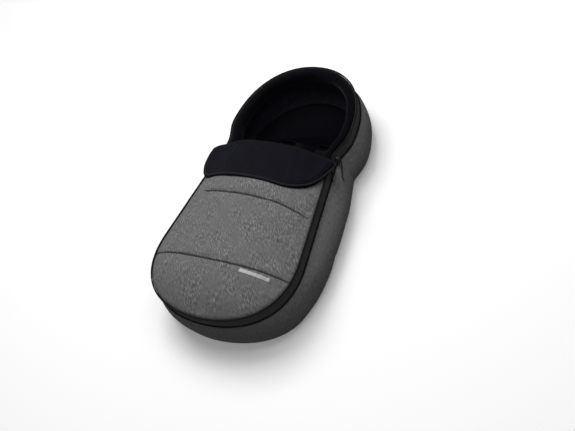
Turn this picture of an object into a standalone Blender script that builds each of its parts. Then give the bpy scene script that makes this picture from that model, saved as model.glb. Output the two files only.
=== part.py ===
"""Padded footmuff for a seat, lying on its back, built from its cut, sewn and moulded pieces.

X runs across the bag, -Y points to the toe, +Y to the hood, and Z is up. The floor is Z = 0.
Sizes are in metres. Offsets are measured in plan from the line where the front cover's edge
runs, positive outwards, so the walls, the zip and the linings all follow one outline.
"""
import math

import bmesh
import bpy
from mathutils import Matrix, Vector

for item in list(bpy.data.objects):
    bpy.data.objects.remove(item, do_unlink=True)

# Outline of the cover's edge in plan, right half
TOE_Y = -0.410
FOOT_X, FOOT_Y = 0.214, -0.199
WAIST_X, WAIST_Y = 0.169, 0.116
HOOD_X, HOOD_Y = 0.186, 0.201
HEAD_Y = 0.4115
TOE_FULLNESS = 0.66
HEAD_FULLNESS = 0.60

# Heights
EDGE_Z = 0.150
BAND_Z = 0.114
COIL_Z = 0.132
CROWN = 0.056
TOE_RISE = 0.170
ARCH_POWER = 2.6
PUFF = 0.003
CHANNEL_DEPTH = 0.004
CHANNEL_WIDTH = 0.010

# Places along the bag
SEAM_LOW_Y = -0.261
SEAM_HIGH_Y = -0.063
FOLD_Y = 0.103
ZIP_TOP_Y = 0.089
SLIDER_Y = 0.100
HOOD_START_Y = 0.117
CORD_EXIT_Y = 0.1297

# Sewn layers
GAP = 0.0003
LAYER_GAP = 0.0010
PANEL_EDGE = 0.006
PANEL_MIDDLE = 0.009
LINING = 0.003
LINING_INSET = 0.006
GUSSET_WALL = 0.007
GUSSET_LINING = 0.0042
HOOD_PADDING = 0.034
TAPE = 0.0012
PIPING_R = 0.0014

# Back of the bag
BACK_PANEL = 0.0025
WADDING_Z = (0.0029, 0.0300)
WADDING_INSET = 0.003
BACK_LINING_Z = (0.0304, 0.0362)
PATCH_SIZE = (0.220, 0.190)
PATCH_Y = -0.249
PATCH_THICK = 0.0008
SLOT_WIDTH = 0.012
SLOTS = {
    "shoulder_slot_right": (0.065, 0.221, 0.052, 0.0),
    "shoulder_slot_left": (-0.065, 0.221, 0.052, 0.0),
    "waist_slot_right": (0.118, -0.029, 0.056, 90.0),
    "waist_slot_left": (-0.118, -0.029, 0.056, 90.0),
    "crotch_slot": (0.0, -0.097, 0.052, 0.0),
}

# Cuff flap: its fold and hem, and the curves of its two sides in plan, from the fold to the hem
CUFF_TOP_Y, CUFF_HEM_Y = 0.105, -0.009
CUFF_RIGHT = (((0.170, CUFF_TOP_Y), (0.188, CUFF_TOP_Y), (0.195, 0.102), (0.194, 0.093)),
              ((0.194, 0.093), (0.182, 0.050), (0.168, CUFF_HEM_Y), (0.075, CUFF_HEM_Y)))
CUFF_LEFT = (((-0.174, CUFF_TOP_Y), (-0.186, CUFF_TOP_Y), (-0.195, 0.101), (-0.199, 0.090)),
             ((-0.199, 0.090), (-0.211, 0.045), (-0.196, CUFF_HEM_Y), (-0.140, CUFF_HEM_Y)))
CUFF_LIFT = 0.0012
CUFF_BACKING = 0.0018
CUFF_FLAP = 0.0045
CUFF_SLANT = 0.0255
CUFF_SLANT_START, CUFF_SLANT_END = 0.76, 1.14

# Zip slider, pull and cord lock
SLIDER_LENGTH, SLIDER_HEIGHT = 0.012, 0.0106
LINK_HALF, LINK_LENGTH, LINK_R = 0.0039, 0.0125, 0.0007
PULL_TILT = 20.0
TAB_WIDTH, TAB_LENGTH, TAB_THICK = 0.0050, 0.026, 0.0010
CORD_R, CORD_HOLE_R = 0.0015, 0.0019
LOCK_N, LOCK_R, LOCK_BORE = 0.0112, 0.0055, 0.0042
LOCK_Z = (0.1205, 0.1370)
PLUNGER_R, PLUNGER_Z = 0.0038, (0.1285, 0.1420)


def paint(name, colour, roughness, metallic=0.0):
    """A plain Principled material."""
    material = bpy.data.materials.new(name)
    material.use_nodes = True
    shader = material.node_tree.nodes["Principled BSDF"]
    shader.inputs["Base Color"].default_value = (*colour, 1.0)
    shader.inputs["Roughness"].default_value = roughness
    shader.inputs["Metallic"].default_value = metallic
    return material


MELANGE = paint("grey_melange_fabric", (0.150, 0.150, 0.152), 0.95)
FLEECE = paint("black_fleece", (0.006, 0.006, 0.008), 1.0)
NAVY = paint("navy_cuff_fabric", (0.011, 0.011, 0.019), 0.85)
WEBBING = paint("black_zip_tape", (0.013, 0.013, 0.014), 0.8)
WADDING = paint("white_wadding", (0.70, 0.70, 0.68), 1.0)
BACKING = paint("dark_back_fabric", (0.030, 0.030, 0.033), 0.9)
RUBBER = paint("anti_slip_rubber", (0.020, 0.020, 0.022), 0.7)
COIL = paint("black_nylon_coil", (0.012, 0.012, 0.013), 0.45)
LACQUER = paint("black_lacquered_zinc", (0.015, 0.015, 0.016), 0.35, 0.8)
MOULDED = paint("black_moulded_plastic", (0.014, 0.014, 0.015), 0.45)
STEEL = paint("spring_steel", (0.55, 0.55, 0.56), 0.30, 1.0)
LABEL = paint("silver_label_weave", (0.42, 0.42, 0.43), 0.55)


def add(name, vertices, faces, material, carrier=None, smooth=40.0):
    """Make a closed mesh object from world points, with its origin on its carrier."""
    pivot = carrier.location if carrier else Vector((0.0, 0.0, 0.0))
    mesh = bpy.data.meshes.new(name)
    mesh.from_pydata([Vector(v) - pivot for v in vertices], [], faces)
    build = bmesh.new()
    build.from_mesh(mesh)
    bmesh.ops.remove_doubles(build, verts=build.verts, dist=1e-6)
    bmesh.ops.dissolve_degenerate(build, edges=build.edges, dist=1e-6)
    bmesh.ops.recalc_face_normals(build, faces=build.faces)
    build.to_mesh(mesh)
    build.free()
    mesh.materials.append(material)
    mesh.shade_smooth()
    mesh.set_sharp_from_angle(angle=math.radians(smooth))
    obj = bpy.data.objects.new(name, mesh)
    bpy.context.collection.objects.link(obj)
    obj.parent = carrier
    return obj


def carrier_at(name, place):
    """An empty on a joint's axis, which carries the pieces that turn or slide there."""
    empty = bpy.data.objects.new(name, None)
    empty.location = place
    bpy.context.collection.objects.link(empty)
    return empty


def cut(obj, cutter, operation="DIFFERENCE"):
    """Cut or join an object with another, which stays hidden as a guide."""
    modifier = obj.modifiers.new(cutter.name, "BOOLEAN")
    modifier.operation = operation
    modifier.solver = "EXACT"
    modifier.object = cutter
    cutter.hide_render = True
    cutter.display_type = "WIRE"


def bezier(p0, p1, p2, p3, t):
    """A point on a cubic curve in the plane."""
    s = 1.0 - t
    weights = (s * s * s, 3 * s * s * t, 3 * s * t * t, t * t * t)
    return tuple(sum(w * p[k] for w, p in zip(weights, (p0, p1, p2, p3))) for k in (0, 1))


def half_outline():
    """Stations of the outline's right half, from the toe's tip to the top of the hood."""
    run = Vector((WAIST_X - FOOT_X, WAIST_Y - FOOT_Y)).normalized()
    toe_pull = TOE_FULLNESS * (FOOT_Y - TOE_Y)
    toe = ((0.0, TOE_Y), (TOE_FULLNESS * FOOT_X, TOE_Y),
           (FOOT_X - run.x * toe_pull, FOOT_Y - run.y * toe_pull), (FOOT_X, FOOT_Y))
    neck = 0.032
    shoulder = ((WAIST_X, WAIST_Y), (WAIST_X + run.x * neck, WAIST_Y + run.y * neck),
                (HOOD_X, HOOD_Y - neck), (HOOD_X, HOOD_Y))
    head_pull = HEAD_FULLNESS * (HEAD_Y - HOOD_Y)
    head = ((HOOD_X, HOOD_Y), (HOOD_X, HOOD_Y + head_pull),
            (HEAD_FULLNESS * HOOD_X, HEAD_Y), (0.0, HEAD_Y))
    points = [bezier(*toe, k / 12) for k in range(13)]
    points += [bezier(*shoulder, k / 4) for k in range(5)]
    points += [bezier(*head, k / 9) for k in range(1, 10)]
    return [Vector(p) for p in points]


def outward(points):
    """Unit normals in plan, to the right of the way from toe to hood."""
    normals = []
    for k, _ in enumerate(points):
        before = points[k - 1] if k else Vector((-points[1].x, points[1].y))
        after = points[k + 1] if k + 1 < len(points) else Vector((-points[-2].x, points[-2].y))
        along = (after - before).normalized()
        normals.append(Vector((along.y, -along.x)))
    return normals


HALF = half_outline()
NORMALS = outward(HALF)


def station(y):
    """The outline's right-hand point and outward normal at a place along the bag."""
    for k in range(len(HALF) - 1):
        low, high = HALF[k], HALF[k + 1]
        if low.y <= y <= high.y and high.y > low.y:
            share = (y - low.y) / (high.y - low.y)
            return low.lerp(high, share), NORMALS[k].lerp(NORMALS[k + 1], share).normalized()
    end = 0 if y < HALF[0].y else -1
    return HALF[end].copy(), NORMALS[end].copy()


def side_run(low_y, high_y):
    """Stations up the right-hand side between two places, ends included."""
    inner = [(p, n) for p, n in zip(HALF, NORMALS) if low_y + 1e-5 < p.y < high_y - 1e-5]
    return [station(low_y), *inner, station(high_y)]


def mirrored(run):
    """The same stations on the left-hand side."""
    return [(Vector((-p.x, p.y)), Vector((-n.x, n.y))) for p, n in run]


def toe_loop(top_y):
    """Stations from the right-hand side, round the toe, to the left-hand side."""
    right = side_run(TOE_Y, top_y)
    return right[::-1] + mirrored(right[1:])


def head_loop(low_y):
    """Stations from the right-hand side, round the head, to the left-hand side."""
    right = side_run(low_y, HEAD_Y)
    return right + mirrored(right[:-1])[::-1]


def sweep(name, run, profile, material, carrier=None):
    """Carry a closed profile of offsets and heights along stations, with flat ends."""
    rings = []
    for point, normal in run:
        rings.append([(point.x + normal.x * off, point.y + normal.y * off, z)
                      for off, z in profile(point.y)])
    count = len(rings[0])
    vertices = [v for ring in rings for v in ring]
    faces = [tuple(range(count)), tuple(range(len(vertices) - count, len(vertices)))]
    for k in range(len(rings) - 1):
        for j in range(count):
            a, b = k * count + j, k * count + (j + 1) % count
            faces.append((a, b, b + count, a + count))
    return add(name, vertices, faces, material, carrier)


def box_profile(off_low, off_high, z_low, z_high):
    """A rectangular profile, the same at every station."""
    corners = [(off_low, z_low), (off_high, z_low), (off_high, z_high), (off_low, z_high)]
    return lambda y: corners


def round_profile(off, z, radius, sides=6):
    """A round profile, the same at every station."""
    turns = [2 * math.pi * k / sides for k in range(sides)]
    points = [(off + radius * math.cos(a), z + radius * math.sin(a)) for a in turns]
    return lambda y: points


def blend_table(y, table):
    """Read a smooth value between named places along the bag."""
    for (y0, v0), (y1, v1) in zip(table, table[1:]):
        if y <= y1:
            share = min(max((y - y0) / (y1 - y0), 0.0), 1.0)
            return v0 + (v1 - v0) * share * share * (3 - 2 * share)
    return table[-1][1]


# Side walls. How far they swell out, and where they turn under, from toe to hood.
SWELL = ((TOE_Y, 0.010), (-0.299, 0.016), (-0.129, 0.038), (0.011, 0.040), (HOOD_Y, 0.022), (HEAD_Y, 0.010))
BASE = ((TOE_Y, -0.024), (-0.299, -0.010), (-0.129, 0.005), (0.011, 0.006), (HOOD_Y, -0.018), (HEAD_Y, -0.045))
HOOD_WEDGE = ((HOOD_START_Y, 0.0), (HOOD_Y, 0.55), (HEAD_Y, 1.0))
LINING_END = 0.62
WALL_STEPS = [LINING_END * k / 4 for k in range(5)] + [0.80, 1.0]


def wall_point(y, t, inset):
    """A point of the side wall's section, from the zip (t = 0) to the floor (t = 1)."""
    swell, base = blend_table(y, SWELL), blend_table(y, BASE)
    curve = ((0.0010, BAND_Z - 0.0004), (swell * 1.25, 0.105), (swell + 0.012, 0.008), (base + 0.0006, 0.0))
    here = bezier(*curve, t)
    ahead = bezier(*curve, min(t + 0.01, 1.0))
    behind = bezier(*curve, max(t - 0.01, 0.0))
    along = Vector((ahead[0] - behind[0], ahead[1] - behind[1])).normalized()
    return here[0] + along.y * inset, here[1] - along.x * inset


def wall_profile(near, far, end=1.0, wedge=0.0):
    """A layer of the side wall between two insets. A wedge thickens it towards the floor."""
    steps = [t for t in WALL_STEPS if t <= end]

    def profile(y):
        thicker = wedge * blend_table(y, HOOD_WEDGE)
        outer = [wall_point(y, t, near) for t in steps]
        inner = [wall_point(y, t, far) for t in steps]
        inner = [(off - thicker * (t / end) ** 1.5, z) for t, (off, z) in zip(steps, inner)]
        inner[0] = (inner[0][0], outer[0][1])
        if end == 1.0:
            outer[-1] = (outer[-1][0], 0.0)
            inner[-1] = (outer[-1][0], far)
        else:
            inner[-1] = (inner[-1][0], outer[-1][1])
        return outer + inner[::-1]
    return profile


foot_walls = toe_loop(HOOD_START_Y - GAP)
hood_walls = head_loop(HOOD_START_Y + GAP)
lining_near = GUSSET_WALL + LAYER_GAP
lining_far = lining_near + GUSSET_LINING
sweep("foot_gusset", foot_walls, wall_profile(0.0, GUSSET_WALL), MELANGE)
sweep("foot_gusset_lining", foot_walls, wall_profile(lining_near, lining_far, LINING_END), FLEECE)
sweep("hood_gusset", hood_walls, wall_profile(0.0, GUSSET_WALL), MELANGE)
sweep("hood_gusset_lining", hood_walls,
      wall_profile(lining_near, lining_far, LINING_END, HOOD_PADDING), FLEECE)


def plan_ring(offset_at):
    """The outline in plan, moved by an offset that may change along the bag."""
    right = side_run(TOE_Y, HEAD_Y)
    loop = right + mirrored(right[1:-1])[::-1]
    return [(p.x + n.x * offset_at(p.y), p.y + n.y * offset_at(p.y)) for p, n in loop]


def stadium(half_length, half_width, turns=4):
    """A slot's outline round the origin, long along X."""
    middle = half_length - half_width
    points = []
    for side, start in ((1, -90), (-1, 90)):
        for k in range(turns + 1):
            angle = math.radians(start + 180 * k / turns)
            points.append((side * middle + half_width * math.cos(angle), half_width * math.sin(angle)))
    return points


def placed(points, x, y, degrees):
    """Turn plan points and move them to a place."""
    c, s = math.cos(math.radians(degrees)), math.sin(math.radians(degrees))
    return [(x + px * c - py * s, y + px * s + py * c) for px, py in points]


def prism(name, groups, z_low, z_high, material):
    """Upright prisms on given outlines, in one object."""
    vertices, faces = [], []
    for ring in groups:
        start, count = len(vertices), len(ring)
        vertices += [(x, y, z_low) for x, y in ring] + [(x, y, z_high) for x, y in ring]
        faces.append(tuple(range(start, start + count)))
        faces.append(tuple(range(start + count, start + 2 * count)))
        for j in range(count):
            a, b = start + j, start + (j + 1) % count
            faces.append((a, b, b + count, a + count))
    return add(name, vertices, faces, material)


# Back of the bag: outer fabric, wadding and fleece, all cut by the harness slots
slot_rings = [placed(stadium(length / 2, SLOT_WIDTH / 2), x, y, turn) for x, y, length, turn in SLOTS.values()]
slot_cutter = prism("slot_cutter", slot_rings, -0.01, 0.06, BACKING)
patch_ring = [(sx * PATCH_SIZE[0] / 2, PATCH_Y + sy * PATCH_SIZE[1] / 2)
              for sx, sy in ((-1, -1), (1, -1), (1, 1), (-1, 1))]
recess_ring = [(x + math.copysign(GAP, x), y + math.copysign(GAP, y - PATCH_Y)) for x, y in patch_ring]
recess_cutter = prism("recess_cutter", [recess_ring], -0.01, PATCH_THICK + GAP, BACKING)

back_panel = prism("back_panel", [plan_ring(lambda y: blend_table(y, BASE) - GAP)], 0.0, BACK_PANEL, BACKING)
cut(back_panel, slot_cutter)
cut(back_panel, recess_cutter)
prism("anti_slip_patch", [patch_ring], 0.0, PATCH_THICK, RUBBER)
back_wadding = prism("back_wadding", [plan_ring(lambda y: blend_table(y, BASE) - WADDING_INSET)], *WADDING_Z,
                     WADDING)
cut(back_wadding, slot_cutter)


def lining_reach(y):
    """How far out the back's fleece reaches, just inside the side wall at its height."""
    wall = [wall_point(y, k / 60, GUSSET_WALL) for k in range(30, 56)]
    level = [off for off, z in wall if BACK_LINING_Z[0] - 0.003 < z < BACK_LINING_Z[1] + 0.003]
    return min(level) - 0.0020


back_lining = prism("back_lining", [plan_ring(lining_reach)], *BACK_LINING_Z, FLEECE)
cut(back_lining, slot_cutter)


def slot_binding(name, x, y, length, turn):
    """A sewn sleeve through a harness slot, with a flat rim on the fleece."""
    wall, rim, reach = 0.0014, 0.0040, 0.0011
    fit = 0.0004
    half, width = length / 2 - fit, SLOT_WIDTH / 2 - fit
    low, seat = 0.0006, BACK_LINING_Z[1] + GAP
    section = [(0.0, low), (0.0, seat), (rim, seat), (rim, seat + reach), (-wall, seat + reach), (-wall, low)]
    rings = [[(px, py, z) for px, py in placed(stadium(half + grow, width + grow), x, y, turn)]
             for grow, z in section]
    count = len(rings[0])
    vertices = [v for ring in rings for v in ring]
    faces = []
    for k in range(len(rings)):
        for j in range(count):
            a, b = k * count + j, k * count + (j + 1) % count
            c, d = ((k + 1) % len(rings)) * count + (j + 1) % count, ((k + 1) % len(rings)) * count + j
            faces.append((a, b, c, d))
    return add(name, vertices, faces, WEBBING)


for slot_name, values in SLOTS.items():
    slot_binding(slot_name + "_binding", *values)

# Bodies that move: the cover folds at its two sewn channels, and the cuff at the cover's end
SEAM_TOP_Z = EDGE_Z + CROWN + 0.0005
fold_low = carrier_at("cover_middle_carrier", (0.0, SEAM_LOW_Y, SEAM_TOP_Z))
fold_high = carrier_at("cover_top_carrier", (0.0, SEAM_HIGH_Y, SEAM_TOP_Z))
fold_cuff = carrier_at("cuff_carrier", (0.0, FOLD_Y, EDGE_Z + CROWN + PUFF + 0.0050))


def arch(x, y):
    """1 along the middle of the cover, 0 at its edge."""
    half = max(station(y)[0].x, 1e-4)
    return 1.0 - min(abs(x) / half, 1.0) ** ARCH_POWER


def cover_height(x, y):
    """The cover's outer face: an arch across, rounded down at the toe, quilted at the seams."""
    toe = min(max((y - TOE_Y) / TOE_RISE, 0.0), 1.0)
    rise = 1.0 - (1.0 - toe) ** ARCH_POWER
    channels = sum(math.exp(-((y - seam) / CHANNEL_WIDTH) ** 2) for seam in (SEAM_LOW_Y, SEAM_HIGH_Y))
    swell = arch(x, y)
    return EDGE_Z + swell * (CROWN * rise + PUFF * toe * (1 - min(channels, 1.0)) - CHANNEL_DEPTH * channels)


def quilt(name, grid, lift, thickness, material, carrier=None, height=cover_height):
    """A padded layer over a grid of plan points. lift and thickness are functions of x and y.

    Both faces are split along the same diagonals, so that stacked layers stay parallel.
    """
    rows, columns = len(grid), len(grid[0])
    top = [(x, y, height(x, y) + lift(x, y)) for row in grid for x, y in row]
    bottom = [(x, y, z - thickness(x, y)) for x, y, z in top]
    count = rows * columns
    faces = []
    for r in range(rows - 1):
        for c in range(columns - 1):
            a, b, e, f = r * columns + c, r * columns + c + 1, (r + 1) * columns + c + 1, (r + 1) * columns + c
            faces += [(a, b, e), (a, e, f)]
            faces += [(e + count, b + count, a + count), (f + count, e + count, a + count)]
    rim = [r * columns for r in range(rows)]
    rim += [(rows - 1) * columns + c for c in range(1, columns)]
    rim += [r * columns + columns - 1 for r in range(rows - 2, -1, -1)]
    rim += list(range(columns - 2, 0, -1))
    for a, b in zip(rim, rim[1:] + rim[:1]):
        faces.append((a, b, b + count, a + count))
    return add(name, top + bottom, faces, material, carrier)


def panel_thickness(x, y):
    """The quilted layer is fuller in the middle than at its edge."""
    return PANEL_EDGE + (PANEL_MIDDLE - PANEL_EDGE) * arch(x, y)


def cross_rows(low_y, high_y, inset):
    """Plan points in rows across the cover, with the outline's own stations among them."""
    steps = [low_y, low_y + 0.007, low_y + 0.016, low_y + 0.035, (low_y + high_y) / 2]
    steps += [high_y - 0.035, high_y - 0.016, high_y - 0.007, high_y]
    steps += [p.y for p in HALF if low_y < p.y < high_y]
    spread = [math.sin(math.pi / 2 * k / 7) for k in range(-7, 8)]
    rows = []
    for y in sorted(set(round(v, 6) for v in steps)):
        point, normal = station(y)
        rows.append([(u * (point.x - inset / normal.x), y) for u in spread])
    return rows


def toe_rows(high_y, inset):
    """Plan points of the foot panel: columns from the lower seam to the outline round the toe."""
    right = [(p - n * inset) for p, n in side_run(TOE_Y, high_y)]
    right[-1] = Vector((right[-1].x, high_y))
    rim = [Vector((-p.x, p.y)) for p in right[:0:-1]] + right
    shares = (0.0, 0.05, 0.12, 0.3, 0.55, 0.8, 0.94, 1.0)
    return [[(p.x, high_y + (p.y - high_y) * share) for p in rim] for share in shares]


def cover_section(tag, grid, lining_grid, carrier=None):
    """One quilted length of the cover: melange outer with wadding, and its fleece lining."""
    quilt("cover_" + tag, grid, lambda x, y: 0.0, panel_thickness, MELANGE, carrier)
    quilt("cover_" + tag + "_lining", lining_grid,
          lambda x, y: -panel_thickness(x, y) - LAYER_GAP, lambda x, y: LINING, FLEECE, carrier)


cover_section("foot", toe_rows(SEAM_LOW_Y - GAP, GAP), toe_rows(SEAM_LOW_Y - GAP, LINING_INSET))
cover_section("middle", cross_rows(SEAM_LOW_Y + GAP, SEAM_HIGH_Y - GAP, GAP),
              cross_rows(SEAM_LOW_Y + GAP, SEAM_HIGH_Y - GAP, LINING_INSET), fold_low)
cover_section("top", cross_rows(SEAM_HIGH_Y + GAP, FOLD_Y - GAP, GAP),
              cross_rows(SEAM_HIGH_Y + GAP, FOLD_Y - GAP, LINING_INSET), fold_high)

# Zip: two tapes hang from the cover and stand up from the side wall, coils on their inner faces
TAPE_NEAR, TAPE_FAR = 0.0004, 0.0004 + TAPE
COIL_NEAR, COIL_FAR = -0.0032, 0.0000
HALF_CHAIN = 0.0010
COIL_HIGH = 0.0032
cover_tape = box_profile(TAPE_NEAR, TAPE_FAR, COIL_Z + HALF_CHAIN, EDGE_Z - GAP)
cover_coil = box_profile(COIL_NEAR, COIL_FAR, COIL_Z + HALF_CHAIN, COIL_Z + HALF_CHAIN + COIL_HIGH)
wall_tape = box_profile(TAPE_NEAR, TAPE_FAR, BAND_Z + GAP, COIL_Z - HALF_CHAIN)
wall_coil = box_profile(COIL_NEAR, COIL_FAR, COIL_Z - HALF_CHAIN - COIL_HIGH, COIL_Z - HALF_CHAIN)
PIPING_OFF = TAPE_FAR + PIPING_R + 0.0004
upper_piping = round_profile(PIPING_OFF, EDGE_Z, PIPING_R)
lower_piping = round_profile(PIPING_OFF, BAND_Z + 0.0004, PIPING_R)
STOP_Y = SLIDER_Y + 0.0080

sweep("zip_tape_gusset", toe_loop(STOP_Y + 0.003), wall_tape, WEBBING)
sweep("zip_coil_gusset", toe_loop(STOP_Y - GAP), wall_coil, COIL)
sweep("gusset_piping", toe_loop(HOOD_START_Y - GAP), lower_piping, WEBBING)
sweep("zip_tape_foot", toe_loop(SEAM_LOW_Y - GAP), cover_tape, WEBBING)
sweep("zip_coil_foot", toe_loop(SEAM_LOW_Y - GAP), cover_coil, COIL)
sweep("piping_foot", toe_loop(SEAM_LOW_Y - GAP), upper_piping, WEBBING)

lengths = {
    "middle": (side_run(SEAM_LOW_Y + GAP, SEAM_HIGH_Y - GAP), fold_low),
    "top": (side_run(SEAM_HIGH_Y + GAP, ZIP_TOP_Y), fold_high),
}
for tag, (run, carrier) in lengths.items():
    for side, path in (("right", run), ("left", mirrored(run))):
        sweep(f"zip_tape_{tag}_{side}", path, cover_tape, WEBBING, carrier)
        sweep(f"zip_coil_{tag}_{side}", path, cover_coil, COIL, carrier)
        sweep(f"piping_{tag}_{side}", path, upper_piping, WEBBING, carrier)
stop_run = side_run(STOP_Y + GAP, STOP_Y + 0.0030)
sweep("zip_stop_right", stop_run, wall_coil, LACQUER)
sweep("zip_stop_left", mirrored(stop_run), wall_coil, LACQUER)

# Hood: a padded roll inside a stiff band, piped along both edges, with a cord in its channel
CHANNEL_Z = (0.1303, 0.1357)
CHANNEL_OFF = -0.0065
ROLL_OFF = -0.0006
CORD_Z = 0.1330
roll_section = [
    (ROLL_OFF, CHANNEL_Z[0]), (CHANNEL_OFF, CHANNEL_Z[0]), (CHANNEL_OFF, CHANNEL_Z[1]), (ROLL_OFF, CHANNEL_Z[1]),
    (ROLL_OFF, 0.1460), (-0.0055, 0.1520), (-0.0130, 0.1540), (-0.0205, 0.1520), (-0.0255, 0.1455),
    (-0.0275, 0.1340), (-0.0255, 0.1225), (-0.0200, 0.1170), (ROLL_OFF, 0.1170),
]
sweep("hood_rim", hood_walls, lambda y: roll_section, FLEECE)
hood_band = sweep("hood_band", hood_walls, box_profile(TAPE_NEAR, TAPE_FAR + 0.0004, BAND_Z + GAP, EDGE_Z), WEBBING)
sweep("hood_piping_upper", hood_walls, round_profile(PIPING_OFF + 0.0004, EDGE_Z, PIPING_R), WEBBING)
sweep("hood_piping_lower", hood_walls, round_profile(PIPING_OFF + 0.0004, BAND_Z + 0.0004, PIPING_R), WEBBING)


def side_frame(y, z, mirror=1.0):
    """Local axes on the band: x outwards, y towards the toe, z up, at a place along the bag."""
    point, normal = station(y)
    out = Vector((mirror * normal.x, normal.y, 0.0))
    toe = Vector((mirror * normal.y, -normal.x, 0.0))
    up = Vector((0.0, 0.0, 1.0))
    place = Matrix((out, toe, up)).transposed().to_4x4()
    place.translation = Vector((mirror * point.x, point.y, z))
    return place


def lathe(profile, sides=16):
    """Vertices and faces of a profile of radii and heights turned about Z, closed on itself."""
    vertices, faces = [], []
    for k in range(sides):
        angle = 2 * math.pi * k / sides
        vertices += [(r * math.cos(angle), r * math.sin(angle), z) for r, z in profile]
    count = len(profile)
    for k in range(sides):
        for j in range(count):
            a, b = k * count + j, k * count + (j + 1) % count
            c, d = ((k + 1) % sides) * count + (j + 1) % count, ((k + 1) % sides) * count + j
            faces.append((a, b, c, d))
    return vertices, faces


def moved(place, vertices):
    """Points of a local frame in world places."""
    return [tuple(place @ Vector(v)) for v in vertices]


def extruded(name, place, ring, low, high, point, material, carrier=None):
    """An outline carried between two levels. point makes a local place of it and a level."""
    count = len(ring)
    vertices = [point(a, b, level) for level in (low, high) for a, b in ring]
    faces = [tuple(range(count)), tuple(range(count, 2 * count))]
    faces += [(j, (j + 1) % count, (j + 1) % count + count, j + count) for j in range(count)]
    return add(name, moved(place, vertices), faces, material, carrier)


def round_bar(name, place, radius, z_low, z_high, stretch=0.0, sides=12):
    """A round cutting bar along the frame's Z, or a flat-sided one where it is stretched along Y."""
    ring = []
    for k in range(sides):
        angle = 2 * math.pi * (k + 0.5) / sides
        shift = math.copysign(stretch / 2, math.sin(angle))
        ring.append((radius * math.cos(angle), radius * math.sin(angle) + shift))
    return extruded(name, place, ring, z_low, z_high, lambda x, y, z: (x, y, z), BACKING)


exit_frame = side_frame(CORD_EXIT_Y, CORD_Z)
outwards = exit_frame @ Matrix.Rotation(math.radians(90), 4, "Y")
EYELET_R = 0.0028
cut(hood_band, round_bar("eyelet_cutter", outwards, EYELET_R, -0.003, 0.006))
eyelet_face = TAPE_FAR + 0.0004 + GAP
eyelet_section = [(0.0021, 0.0006), (0.0024, 0.0006), (0.0024, eyelet_face), (0.0042, eyelet_face),
                  (0.0040, eyelet_face + 0.0008), (0.0026, eyelet_face + 0.0010), (0.0021, eyelet_face + 0.0006)]
turned, turned_faces = lathe(eyelet_section)
add("cord_eyelet", moved(outwards, turned), turned_faces, LACQUER)


def cord_tube(name, points, radius, material, resolution=2, carrier=None):
    """A round cord along points, with filled ends."""
    curve = bpy.data.curves.new(name, "CURVE")
    curve.dimensions = "3D"
    curve.bevel_depth = radius
    curve.bevel_resolution = resolution
    curve.resolution_u = 1
    curve.render_resolution_u = 0
    curve.use_fill_caps = True
    spline = curve.splines.new("POLY")
    spline.points.add(len(points) - 1)
    pivot = carrier.location if carrier else Vector((0.0, 0.0, 0.0))
    for target, point in zip(spline.points, points):
        target.co = (*(Vector(point) - pivot), 1.0)
    curve.materials.append(material)
    obj = bpy.data.objects.new(name, curve)
    bpy.context.collection.objects.link(obj)
    obj.parent = carrier
    return obj


def smooth_path(route, steps):
    """Points on a Catmull-Rom curve through a route."""
    padded = [route[0], *route, route[-1]]
    points = []
    for p0, p1, p2, p3 in zip(padded, padded[1:], padded[2:], padded[3:]):
        for k in range(steps):
            t = k / steps
            points.append(0.5 * ((2 * p1) + (p2 - p0) * t + (2 * p0 - 5 * p1 + 4 * p2 - p3) * t * t
                                 + (3 * p1 - p0 - 3 * p2 + p3) * t ** 3))
    return points + [route[-1]]


# Drawcord: sewn in at the left, round the hood in the roll's channel, out through the eyelet
CHANNEL_CORD_OFF = -0.0036
channel_run = head_loop(CORD_EXIT_Y + 0.0113)[::-1]
cord_points = [Vector((p.x + n.x * CHANNEL_CORD_OFF, p.y + n.y * CHANNEL_CORD_OFF, CORD_Z)) for p, n in channel_run]
exit_route = [(-0.0036, -0.0075, 0.0), (-0.0034, -0.0040, 0.0), (-0.0022, -0.0013, 0.0), (0.0, -0.0001, 0.0),
              (0.0035, 0.0, 0.0), (0.0110, 0.0, 0.0), (0.0175, 0.0, 0.0), (0.0213, 0.0012, -0.0012),
              (0.0240, 0.0052, -0.0058), (0.0258, 0.0120, -0.0130), (0.0276, 0.0200, -0.0205),
              (0.0298, 0.0280, -0.0275), (0.0314, 0.0332, -0.0322)]
exit_points = smooth_path([Vector(v) for v in moved(exit_frame, exit_route)], 2)
cord_tube("hood_drawcord", cord_points + exit_points, CORD_R, WEBBING)
tail_way = (exit_points[-1] - exit_points[-2]).normalized()
end_place = Matrix.Translation(exit_points[-1]) @ tail_way.to_track_quat("Z", "Y").to_matrix().to_4x4()
end_section = [(0.0, 0.0003), (0.0019, 0.0005), (0.0023, 0.0040), (0.0019, 0.0077), (0.0, 0.0082)]
knot, knot_faces = lathe(end_section, 10)
add("drawcord_end", moved(end_place, knot), knot_faces, MOULDED)

# Cord lock: an open barrel, a sprung plunger, and a hole across both for the cord
lock_frame = side_frame(CORD_EXIT_Y, 0.0) @ Matrix.Translation((LOCK_N, 0.0, 0.0))
floor_z = LOCK_Z[0] + 0.0015
barrel_section = [(0.0, LOCK_Z[0]), (LOCK_R - 0.0008, LOCK_Z[0]), (LOCK_R, LOCK_Z[0] + 0.0010),
                  (LOCK_R, LOCK_Z[1] - 0.0008), (LOCK_R - 0.0005, LOCK_Z[1]), (LOCK_BORE, LOCK_Z[1]),
                  (LOCK_BORE, floor_z), (0.0, floor_z)]
shape, shape_faces = lathe(barrel_section)
barrel = add("cord_lock_barrel", moved(lock_frame, shape), shape_faces, MOULDED)
hole_frame = exit_frame @ Matrix.Translation((LOCK_N, 0.0, 0.0)) @ Matrix.Rotation(math.radians(90), 4, "Y")
cut(barrel, round_bar("barrel_hole_cutter", hole_frame, CORD_HOLE_R, -0.010, 0.010))

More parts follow.
